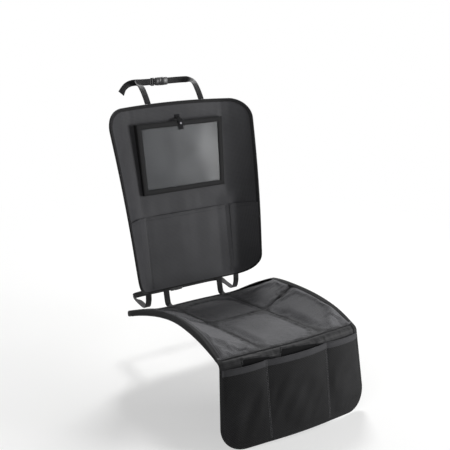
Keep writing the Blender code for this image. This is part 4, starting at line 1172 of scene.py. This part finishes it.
def flap_lift(x, run, size):
    """Return the thickness of the flap's cloth: gathered on the roll, with a lip over the mouths."""
    edge = roll_length() + HEM_TOP - mouth_edge(x)
    open_here = np.clip(mouth_edge(x) / 0.004, 0, 1)
    lip = np.exp(-((run - edge + 0.002) / 0.0045) ** 2) * size.mouth_lip * open_here
    inside = fade(run, edge - 0.0006, edge + 0.0010) * (1 - fade(run, edge + 0.03, edge + 0.05))
    plain = FLAP_THICK + flap_gather(x, run, size.roll_pucker) + lip
    return plain * (1 - inside * open_here) + 0.0006 * inside * open_here


def flap_side(run):
    """Return half the flap's width by the run of cloth, with square corners."""
    drop = np.maximum(run - roll_length(), 0)
    return mat_side(MAT_FRONT - MAT_FRONT_BOW) + FLAP_FLARE * drop / FLAP_DROP


def flap_bulge(x, run):
    """Return how far the mesh pockets stand off the flap: most at their mouths."""
    drop = run - roll_length()
    share = np.clip(1 - drop / (FLAP_DROP - FLAP_CORNER / 2), 0, 1) ** 0.8
    middle = np.clip(1 - (np.abs(x) / (GROOVE_X - 0.003)) ** 2.4, 0, 1)
    a = np.clip((np.abs(x) - GROOVE_X - 0.003) / (flap_side(run) - GROOVE_X - 0.009), 0, 1)
    return FLAP_GAPE * share * np.where(np.abs(x) < GROOVE_X, middle, np.sin(math.pi * a) ** 0.7)


def mesh_lift(x, run, size):
    """Return the height of the mesh's inner face over the flap, with its slack diagonal folds."""
    loose = flap_bulge(x, run)
    drop = run - roll_length()
    slack = fade(drop, 0.03, 0.09) * (1 - fade(drop, FLAP_DROP - 0.03, FLAP_DROP - 0.006))
    edge = fade(np.abs(np.abs(x) - GROOVE_X), 0.004, 0.03) * fade(flap_side(run) - np.abs(x), 0.006, 0.04)
    folds = ripple(x + 0.6 * run, run - 0.9 * x, 24.0, 7.0, 17.0) + 0.5 * ripple(x, run, 12.0, 18.0, 2.5)
    return FLAP_THICK + SHEET_GAP + np.maximum(loose + folds * size.mesh_fold * slack * edge, 0.0)


def hem_faces(x, run):
    """Return the heights of the hem band's inner and outer face over the flap."""
    sag = np.sin(math.pi * np.clip((run - roll_length() - HEM_TOP) / HEM_HEIGHT, 0, 1))
    low = FLAP_THICK + SHEET_GAP + flap_bulge(x, run)
    return low, low + 0.0022 + 0.0006 * sag + 0.0004 * ripple(x, run, 45, 20, 9.0)


class PROTECTOR_OT_mat_binding(bpy.types.Operator):
    """Make the tape that runs round the mat and the flap in one loop"""
    bl_idname = "protector.mat_binding"
    bl_label = "Mat binding"

    def execute(self, context):
        size = context.scene.protector_sizes
        x, s, _ = mat_grid()
        fx, run = flap_grid()
        mat = (*with_normals(mat_face, x, s, -1), tape_top(x, s, size))
        flap = (*with_normals(flap_face, fx, run, -1), np.full(fx.shape, FLAP_THICK + 0.0012))
        walk = [(mat, np.s_[0, :0:-1]), (mat, np.s_[:-1, 0]), (flap, np.s_[:-1, 0]),
                (flap, np.s_[-1, :-1]), (flap, np.s_[::-1, -1]), (mat, np.s_[-2:0:-1, -1])]
        rim, normals, high = (np.concatenate([face[n][part] for face, part in walk]) for n in range(3))
        for _ in range(24):
            high = (np.roll(high, 1) + high * 2 + np.roll(high, -1)) / 4
        tape, threads = bind_edge("mat_binding", rim, normals, high, size.mat_tape_lap, size,
                                  ["mat_binding"])
        return {"FINISHED"}


# Straps and buckles


def smooth_line(stops, steps):
    """Run a smooth curve through stops, which hold a place and a width direction each."""
    line = []
    last = len(stops) - 1
    for n in range(last):
        four = (stops[max(n - 1, 0)], stops[n], stops[n + 1], stops[min(n + 2, last)])
        for step in range(steps if n < last - 1 else steps + 1):
            t = step / steps
            pair = []
            for which in (0, 1):
                a, b, c, d = (Vector(p[which]) for p in four)
                pair.append(0.5 * (2 * b + (c - a) * t + (2 * a - 5 * b + 4 * c - d) * t * t
                                   + (3 * b - 3 * c + d - a) * t * t * t))
            line.append(pair)
    return line


def strap_piece(name, stops, kind="webbing", replaces=(), width=STRAP_WIDTH, thick=STRAP_THICK, frays=0.0):
    """Make a woven strap with rounded selvedges along stops; one that frays widens at its end."""
    line = smooth_line(stops, 10)
    last = len(line) - 1
    half = [(-0.5, -0.25), (-0.47, -0.5), (-0.2, -0.42), (0.2, -0.42), (0.47, -0.5), (0.5, -0.25)]
    profile = half + [(-a, -b) for a, b in half]
    rings = []
    for n, (place, across) in enumerate(line):
        along = (line[min(n + 1, last)][0] - line[max(n - 1, 0)][0]).normalized()
        side = (across - along * across.dot(along)).normalized()
        face = along.cross(side).normalized()
        grow = 1.0 + frays * max(0.0, n / last - 0.8) * 5
        rings.append([place + side * (a * width * grow) + face * (b * thick) for a, b in profile])
    run = run_along(np.array([place for place, across in line]))
    uv = ring_uv(run, run_along(np.array(profile) * (width, thick)))
    return sweep_piece(name, rings, kind, uv, closed=False, replaces=replaces)


def box_stitch(centre, across, along, up, wide, long):
    """Return the lines of a boxed cross, sewn where a strap is fixed."""
    corners = [centre + across * (a * wide / 2) + along * (b * long / 2)
               for a, b in ((-1, -1), (1, -1), (1, 1), (-1, 1))]
    lines = [(np.array([tuple(c) for c in corners]), np.array([tuple(up)] * 4), True)]
    for a, b in ((0, 2), (1, 3)):
        lines.append((np.array([tuple(corners[a]), tuple(corners[b])]), np.array([tuple(up)] * 2), False))
    return lines


class PROTECTOR_OT_connectors(bpy.types.Operator):
    """Make the two short straps that join the panel to the mat, with their sewn anchors"""
    bl_idname = "protector.connectors"
    bl_label = "Connectors"

    def execute(self, context):
        size = context.scene.protector_sizes
        lift = MAT_BASE + 0.0008 + TOUCH + STRAP_THICK / 2
        start_h = PANEL_FOOT - TAPE_REACH + 0.0005
        half = mat_side(MAT_REAR + MAT_REAR_BOW) - MAT_CORNER
        rear = MAT_REAR + MAT_REAR_BOW * (CONNECTOR_X / half) ** 2
        for side, name in SIDES:
            x = side * CONNECTOR_X
            stops = [on_back(x, start_h, PANEL_THICK / 2), on_back(x, start_h - 0.015, PANEL_THICK / 2),
                     on_back(x, 0.015, PANEL_THICK), on_mat(x, rear - 0.0105, lift + 0.0015),
                     on_mat(x, rear, lift + 0.0008), on_mat(x, rear + CONNECTOR_LAP, lift + 0.0014)]
            strap_piece("connector_webbing_" + name, [(stop, ACROSS) for stop in stops],
                        replaces=["connector_strap_" + name])
            self.anchor(name, x, rear + CONNECTOR_LAP, lift + STRAP_THICK / 2 + 0.0012, size)
        return {"FINISHED"}

    def anchor(self, name, x, end, lift, size):
        """Make the moulded anchor plate on a connector's end, with a grey bar on it that is a painted
        highlight, and its stitches.
        """
        outer = x + math.copysign(ANCHOR_SHIFT, x)
        plate = new_box("anchor_plate_" + name, (outer, -0.0065 - end, 0), (0.028, 0.013, 0.0016), 0.0006)
        # Painted highlight: a grey bar in the diffuse thread colour stands in for a lit bar on the plate.
        highlight_bar = new_box("anchor_tack_" + name, (outer, -0.0045 - end, 0.0017), (0.020, 0.0028, 0.0020), 0.0009,
                      "grey thread")
        for part in (plate, highlight_bar):
            moved = [on_mat(v.co.x, -v.co.y - 0.013, lift + v.co.z) for v in part.data.vertices]
            part.data.vertices.foreach_set("co", np.array(moved, np.float32).ravel())
            part.data.update()
        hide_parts("anchor_patch_" + name)
        centre = Vector(on_mat(outer, end - 0.0068, lift + 0.0009))
        along, up = Vector(on_mat(0, 1, 0)), Vector(on_mat(0, 0, 1))
        cross = box_stitch(centre, ACROSS, along, up, 0.021, 0.009)
        stitch_piece("anchor_stitches_" + name, cross, size, 0.003)


def new_box(name, centre, extent, round_by, kind="plastic"):
    """Make a block with rounded edges."""
    bm = bmesh.new()
    bmesh.ops.create_cube(bm, size=1.0)
    for v in bm.verts:
        v.co = Vector(centre) + Vector((v.co.x * extent[0], v.co.y * extent[1], v.co.z * extent[2]))
    bmesh.ops.bevel(bm, geom=bm.edges[:], offset=round_by, segments=3, profile=0.5, affect="EDGES")
    verts = [v.co.copy() for v in bm.verts]
    bm.verts.index_update()
    faces = [tuple(v.index for v in f.verts) for f in bm.faces]
    bm.free()
    return new_piece(name, verts, faces, kind)


class PROTECTOR_OT_straps(bpy.types.Operator):
    """Make the upper strap with its loose tail, and the lower straps"""
    bl_idname = "protector.straps"
    bl_label = "Straps"

    def execute(self, context):
        reach = BUCKLE_LENGTH / 2
        self.upper(reach)
        h = PANEL_FOOT - TAPE_REACH + 0.0002
        curl = float(panel_curl(LOWER_STRAP_X, PANEL_FOOT))
        first = Vector(on_back(LOWER_STRAP_X, h, PANEL_THICK / 2 + curl))
        flat_y = first.y + LOWER_BEND
        for side, name in SIDES:
            x = side * LOWER_STRAP_X
            stops = [((x, first.y, first.z), ACROSS),
                     ((x, first.y + TOUCH, (first.z + LOWER_LOOP_Z) / 2), ACROSS),
                     ((x, flat_y, LOWER_LOOP_Z), ACROSS),
                     ((x, (flat_y + LOWER_LOOP_Y) / 2, LOWER_LOOP_Z), ACROSS)]
            stops += turned_end(side, x, side * reach, (LOWER_LOOP_Y, LOWER_LOOP_Z), LOWER_TURN)
            strap_piece("lower_webbing_" + name, stops, replaces=["lower_strap_" + name])
        return {"FINISHED"}

    def upper(self, reach):
        """Make the two halves of the upper strap, which meet in its buckle, and its loose tail."""
        corner_x = PANEL_WIDTH_TOP / 2 - PANEL_CORNER_TOP
        edge_h = PANEL_TOP - PANEL_TOP_ARCH * (TOP_STRAP_X / corner_x) ** 2
        base = Vector(on_back(0, edge_h + TAPE_REACH + 0.0004, PANEL_THICK / 2))
        loop = upper_loop()
        for side, name in SIDES:
            x = side * TOP_STRAP_X
            stops = [((x, base.y, base.z), ACROSS)]
            for back, up in ((0.22, 0.50), (0.50, 0.92)):
                place = (x, base.y + (loop.y - base.y) * back, base.z + (loop.z - base.z) * up)
                stops.append((place, ACROSS))
            end = side * (reach + (SLIDER_LENGTH if side < 0 else 0.0))
            stops += turned_end(side, x, end, (loop.y, loop.z), LOOP_TURN)
            strap_piece("upper_webbing_" + name, stops, replaces=["upper_strap_" + name])
        start = loop + Vector((-reach - SHEET_GAP, 0.0026, 0))
        tail = [(start + TAIL_LENGTH * Vector((-share, back, rise)), (0, lean, 1))
                for share, back, rise, lean in TAIL_PATH]
        strap_piece("upper_webbing_tail", tail, replaces=["upper_strap_tail"], frays=TAIL_FRAY)


def turned_end(side, x, end, run, turn):
    """Return the stops that turn a strap on edge, to run across to its buckle."""
    on_edge = UPRIGHT * side
    return [((x - side * 0.0015, run[0] - turn, run[1]), (ACROSS + on_edge).normalized()),
            ((x - side * turn, *run), on_edge), ((end, *run), on_edge)]


def upper_loop():
    """Return the middle of the upper strap's rear run."""
    top = Vector(on_back(0, PANEL_TOP, 0))
    return Vector((0, top.y + LOOP_BACK, top.z + LOOP_RISE))


class PROTECTOR_OT_buckles(bpy.types.Operator):
    """Make the side-release buckles and the slider"""
    bl_idname = "protector.buckles"
    bl_label = "Buckles and slider"

    def execute(self, context):
        self.buckle("upper", upper_loop())
        self.buckle("lower", Vector((0, LOWER_LOOP_Y, LOWER_LOOP_Z)))
        self.slider(upper_loop() - Vector((BUCKLE_LENGTH / 2 + SLIDER_LENGTH / 2 + TOUCH, 0, 0)))
        return {"FINISHED"}

    def buckle(self, prefix, centre):
        """Make one closed buckle: a waisted socket and a plug with its side tongues."""
        half, thick = BUCKLE_WIDTH / 2, BUCKLE_THICK / 2
        socket = [(-0.0004, half * 0.98), (-0.004, half), (-0.008, half * 0.80), (-0.014, half * 0.80),
                  (-0.017, half * 0.94), (-0.0205, half * 0.94), (-0.0228, half * 0.72)]
        plug = [(0.0004, half * 0.98), (0.005, half), (0.010, half * 0.97), (0.016, half * 0.95),
                (0.0205, half * 0.92), (0.0228, half * 0.72)]
        self.shell(prefix + "_socket_shell", centre, socket, thick, [prefix + "_buckle_socket"])
        self.shell(prefix + "_plug_shell", centre, plug, thick * 0.92, [prefix + "_buckle_plug"])
        for side, place in ((-1, "down"), (1, "up")):
            new_box(prefix + "_tongue_" + place, centre + Vector((-0.011, 0, side * half * 0.86)),
                    (0.009, 0.0055, 0.0034), 0.0010)
        for n in range(3):
            new_box(prefix + "_grip_rib_" + str(n + 1),
                    centre + Vector((0.007 + n * 0.0034, thick * 0.92, 0)), (0.0012, 0.0012, 0.014), 0.0004)

    def shell(self, name, centre, outline, thick, replaces):
        """Make a plate with rounded faces from the half outline of its plan."""
        plan = outline + [(a, -b) for a, b in reversed(outline)]
        middle = sum(a for a, b in plan) / len(plan)
        rings = []
        for inset, depth in ((0.0014, -1.0), (0.0005, -0.86), (0.0, -0.6), (0.0, 0.6), (0.0005, 0.86),
                             (0.0014, 1.0)):
            rings.append([centre + Vector((a, depth * thick, b))
                          + Vector((middle - a, 0, -b)).normalized() * inset for a, b in plan])
        sweep_piece(name, rings, "plastic", closed=False, replaces=replaces)

    def slider(self, centre):
        """Make the three-bar slider as one moulded ring with a middle bar."""
        long, wide, thick = SLIDER_LENGTH / 2 - TOUCH, BUCKLE_WIDTH / 2, 0.0015
        section = ((0.0, -0.5), (0.0, 0.5), (0.2, 1.0), (0.8, 1.0), (1.0, 0.5), (1.0, -0.5), (0.8, -1.0),
                   (0.2, -1.0))
        rings = []
        for t in np.linspace(0, 2 * math.pi, 48, endpoint=False):
            c, s = math.cos(t), math.sin(t)
            grow = (abs(c) ** 5 + abs(s) ** 5) ** -0.2
            rings.append([centre + Vector((c * grow * (long - inset * SLIDER_BAR), depth * thick,
                                           s * grow * (wide - inset * SLIDER_BAR)))
                          for inset, depth in section])
        sweep_piece("slider_ring", rings, "plastic", replaces=["strap_slider"])
        new_box("slider_bar", centre, (SLIDER_BAR, 0.0026, BUCKLE_WIDTH - 0.004), 0.0009)


# Stage


class PROTECTOR_OT_stage(bpy.types.Operator):
    """Make the floor, the soft lamps, the pale surroundings and the camera"""
    bl_idname = "protector.stage"
    bl_label = "Stage"

    def execute(self, context):
        light = context.scene.protector_light
        scene = context.scene
        scene.view_settings.view_transform = "Standard"
        mesh = bpy.data.meshes.new("floor")
        reach = 9.0
        level = CAD_BOX[0].z - 0.004
        mesh.from_pydata([(-reach, -reach, level), (reach, -reach, level), (reach, reach, level),
                          (-reach, reach, level)], [], [(0, 1, 2, 3)])
        floor = bpy.data.objects.new("floor", mesh)
        scene.collection.objects.link(floor)
        mesh.materials.append(self.white_card())
        self.surroundings(scene, light)
        for name, place, size, power in (
                ("key_lamp", (1.2, 1.5, 2.7), 0.8, light.key_power),
                ("fill_lamp", (2.15, -2.2, 0.60), 1.2, light.fill_power),
                ("left_lamp", (-2.4, -1.6, 1.9), 1.8, light.left_power),
                ("rear_lamp", (-1.2, 2.6, 1.2), 2.0, light.rear_power)):
            data = bpy.data.lights.new(name, "AREA")
            data.size = size
            data.energy = power
            lamp = bpy.data.objects.new(name, data)
            lamp.location = place
            aim = Vector((0, -0.2, 0.25)) - Vector(place)
            lamp.rotation_euler = aim.to_track_quat("-Z", "Y").to_euler()
            scene.collection.objects.link(lamp)
        data = bpy.data.cameras.new("photo_camera")
        data.sensor_width = SENSOR_WIDTH
        data.lens = FOCAL_PIXELS * SENSOR_WIDTH / FRAME_PIXELS
        data.clip_end = 60
        camera = bpy.data.objects.new("photo_camera", data)
        camera.location = CAMERA_PLACE
        camera.rotation_euler = (math.radians(90 - CAMERA_DOWN), 0, math.radians(CAMERA_TURN))
        scene.collection.objects.link(camera)
        scene.camera = camera
        return {"FINISHED"}

    def white_card(self):
        """Return a matt white card that glows evenly beyond the object's shadow."""
        material, tree, shader = start_material("matt white card", linear("eeeeed"), 0.9, gloss=0.1)
        place = add(tree, "ShaderNodeTexCoord").outputs["Object"]
        middle = add(tree, "ShaderNodeVectorMath", [(0, place)], operation="SUBTRACT")
        middle.inputs[1].default_value = (0.0, 0.0, CAD_BOX[0].z)
        away = add(tree, "ShaderNodeVectorMath", [(0, middle.outputs[0])], operation="LENGTH")
        share = add(tree, "ShaderNodeMapRange", [("Value", away.outputs["Value"])], From_Min=0.5,
                    From_Max=1.9, To_Min=0.45)
        seen = self.seen_rays(tree)
        white = add(tree, "ShaderNodeMath", [(0, share.outputs[0]), (1, seen)], operation="MULTIPLY")
        glow = add(tree, "ShaderNodeEmission", Color=(1, 1, 1, 1), Strength=1.0)
        mixed = add(tree, "ShaderNodeMixShader", [(0, white.outputs[0]), (1, shader.outputs[0]),
                                                  (2, glow.outputs[0])])
        tree.links.new(mixed.outputs[0], tree.nodes["Material Output"].inputs["Surface"])
        return material

    def seen_rays(self, tree):
        """Return an output that is 1 for the camera's rays and for those in glass and metal."""
        path = add(tree, "ShaderNodeLightPath")
        seen = add(tree, "ShaderNodeMath", [(0, path.outputs["Is Camera Ray"]),
                                            (1, path.outputs["Is Transmission Ray"])], operation="MAXIMUM")
        return add(tree, "ShaderNodeMath", [(0, seen.outputs[0]), (1, path.outputs["Is Glossy Ray"])],
                   operation="MAXIMUM").outputs[0]

    def surroundings(self, scene, light):
        """Light the scene evenly, and show white to the camera, in glass and in metal."""
        world = bpy.data.worlds.new("pale room")
        scene.world = world
        world.use_nodes = True
        tree = world.node_tree
        tree.nodes.clear()
        shown = self.seen_rays(tree)
        even = add(tree, "ShaderNodeBackground", Color=(1, 1, 1, 1), Strength=light.room_level)
        white = add(tree, "ShaderNodeBackground", Color=(1, 1, 1, 1), Strength=1.0)
        mixed = add(tree, "ShaderNodeMixShader", [(0, shown), (1, even.outputs[0]),
                                                  (2, white.outputs[0])])
        add(tree, "ShaderNodeOutputWorld", [("Surface", mixed.outputs[0])])


# Sidebar and registration


class ProtectorSizes(bpy.types.PropertyGroup):
    """Sizes of the cloth's folds, seams and threads"""
    panel_fold: FloatProperty(name="Panel folds", description="Height of the panel's soft folds",
                              default=0.0026, unit="LENGTH")
    tape_lap: FloatProperty(name="Tape lap", description="How far the panel's binding laps on to the cloth",
                            default=0.0055, unit="LENGTH")
    mat_tape_lap: FloatProperty(name="Mat tape lap", description="How far the mat's binding laps on to it",
                                default=0.0085, unit="LENGTH")
    tape_slope: FloatProperty(name="Rise from the tape", description="How steeply the pads rise beside it",
                              default=0.75)
    window_tape: FloatProperty(name="Window tape", description="Width of the window's frame tape",
                               default=0.016, unit="LENGTH")
    stitch_pitch: FloatProperty(name="Stitch pitch", description="Length of one stitch and its gap",
                                default=0.0045, unit="LENGTH")
    thread_radius: FloatProperty(name="Thread radius", description="Half the sewing thread's width",
                                 default=0.00042, unit="LENGTH")
    snap_scale: FloatProperty(name="Snap scale", description="Size of the snap's cap against 9 mm",
                              default=0.8)
    seam_height: FloatProperty(name="Seam height", description="Height of the quilted top at its seams",
                               default=0.0012, unit="LENGTH")
    pad_squareness: FloatProperty(name="Pad squareness", description="How flat the pads' tops are",
                                  default=2.1)
    pad_roundness: FloatProperty(name="Pad roundness", description="How gently the pads rise from a seam",
                                 default=0.78)
    pad_centre: FloatProperty(name="Centre pads", description="Height of the middle pads over the backing",
                              default=0.0150, unit="LENGTH")
    pad_side: FloatProperty(name="Side pads", description="Height of the outer pads over the backing",
                            default=0.0180, unit="LENGTH")
    pad_pucker: FloatProperty(name="Pad puckers", description="Height of the puckers beside the seams",
                              default=0.0014, unit="LENGTH")
    flank_width: FloatProperty(name="Pulled flank", description="Width of the front pads' left flanks",
                               default=0.040, unit="LENGTH")
    puff_cap: FloatProperty(name="Puff cap", description="Furthest that the simulation moves a point",
                            default=0.005, unit="LENGTH")
    edge_stand: FloatProperty(name="Edge stand", description="Height of the mat's bound sides",
                              default=0.010, unit="LENGTH")
    mouth_lip: FloatProperty(name="Mouth lip", description="Height of the cloth's lip over an open mouth",
                             default=0.0030, unit="LENGTH")
    roll_pucker: FloatProperty(name="Roll puckers", description="Height of the gathers on the front roll",
                               default=0.0022, unit="LENGTH")
    mesh_fold: FloatProperty(name="Mesh folds", description="Height of the mesh pockets' slack folds",
                             default=0.0045, unit="LENGTH")


def colour_field(name, text, code):
    """Return a colour property whose default is given in sRGB hex."""
    return FloatVectorProperty(name=name, description=text, subtype="COLOR", size=3, min=0.0, max=1.0,
                               default=linear(code)[:3])


class ProtectorColours(bpy.types.PropertyGroup):
    """Colours of the cloths, the tapes and the threads"""
    panel: colour_field("Panel cloth", "Colour of the panel and of its row of pockets", "323234")
    # The flap's colour is black cloth, darkened further as painted shade.
    flap: colour_field("Flap cloth", "Colour of the front roll and of the flap behind the mesh", "1c1c1d")
    pad: colour_field("Pad cloth", "Middle colour of the quilted top's mixed yarns", "444446")
    backing: colour_field("Backing", "Colour of the grip felt under the mat", "2a2a2c")
    binding: colour_field("Binding tape", "Colour of the tapes on every edge", "151516")
    webbing: colour_field("Webbing", "Colour of all straps", "151516")
    mesh: colour_field("Mesh", "Colour of the knitted pockets", "101011")
    hem: colour_field("Pocket hem", "Colour of the mesh pockets' folded hem", "29292b")
    thread: colour_field("Thread", "Colour of the seams' thread", "19191a")
    grey_thread: colour_field("Grey thread", "Colour of the quilting's thread", "5c5c5e")


class ProtectorLight(bpy.types.PropertyGroup):
    """Levels of the lamps and of the room"""
    key_power: FloatProperty(name="Key lamp", description="Power of the lamp high up behind the panel",
                             default=95.0, unit="POWER")
    fill_power: FloatProperty(name="Fill lamp", description="Power of the lamp at the front right",
                               default=100.0, unit="POWER")
    left_power: FloatProperty(name="Left lamp", description="Power of the lamp at the front left",
                              default=22.0, unit="POWER")
    rear_power: FloatProperty(name="Rear lamp", description="Power of the lamp low behind",
                              default=16.0, unit="POWER")
    room_level: FloatProperty(name="Room level", description="Strength of the even light all round",
                              default=0.14)


class PROTECTOR_PT_sidebar(bpy.types.Panel):
    """List the pieces of the protector"""
    bl_label = "Car seat protector"
    bl_idname = "PROTECTOR_PT_sidebar"
    bl_space_type = "VIEW_3D"
    bl_region_type = "UI"
    bl_category = "Protector"

    def draw(self, context):
        """Draw a button for each piece and a field for each size."""
        for step in STEPS:
            self.layout.operator(step)
        scene = context.scene
        for group in (scene.protector_sizes, scene.protector_colours, scene.protector_light):
            for key in group.__annotations__:
                self.layout.prop(group, key)


STEPS = ("protector.panel", "protector.window", "protector.mat", "protector.flap",
         "protector.mat_binding", "protector.connectors", "protector.straps", "protector.buckles",
         "protector.stage")
CLASSES = (ProtectorSizes, ProtectorColours, ProtectorLight, PROTECTOR_OT_panel, PROTECTOR_OT_window,
           PROTECTOR_OT_mat, PROTECTOR_OT_flap, PROTECTOR_OT_mat_binding, PROTECTOR_OT_connectors,
           PROTECTOR_OT_straps, PROTECTOR_OT_buckles, PROTECTOR_OT_stage, PROTECTOR_PT_sidebar)


def register():
    """Register the classes and the scene's properties."""
    for item in CLASSES:
        bpy.utils.register_class(item)
    bpy.types.Scene.protector_sizes = PointerProperty(type=ProtectorSizes)
    bpy.types.Scene.protector_colours = PointerProperty(type=ProtectorColours)
    bpy.types.Scene.protector_light = PointerProperty(type=ProtectorLight)


def unregister():
    """Take the classes and the properties out again."""
    del bpy.types.Scene.protector_light
    del bpy.types.Scene.protector_colours
    del bpy.types.Scene.protector_sizes
    for item in reversed(CLASSES):
        bpy.utils.unregister_class(item)


def main():
    """Build every piece in order."""
    register()
    bpy.ops.protector.panel()
    bpy.ops.protector.window()
    bpy.ops.protector.mat()
    bpy.ops.protector.flap()
    bpy.ops.protector.mat_binding()
    bpy.ops.protector.connectors()
    bpy.ops.protector.straps()
    bpy.ops.protector.buckles()
    bpy.ops.protector.stage()
    bpy.context.view_layer.update()


if __name__ == "__main__":
    main()
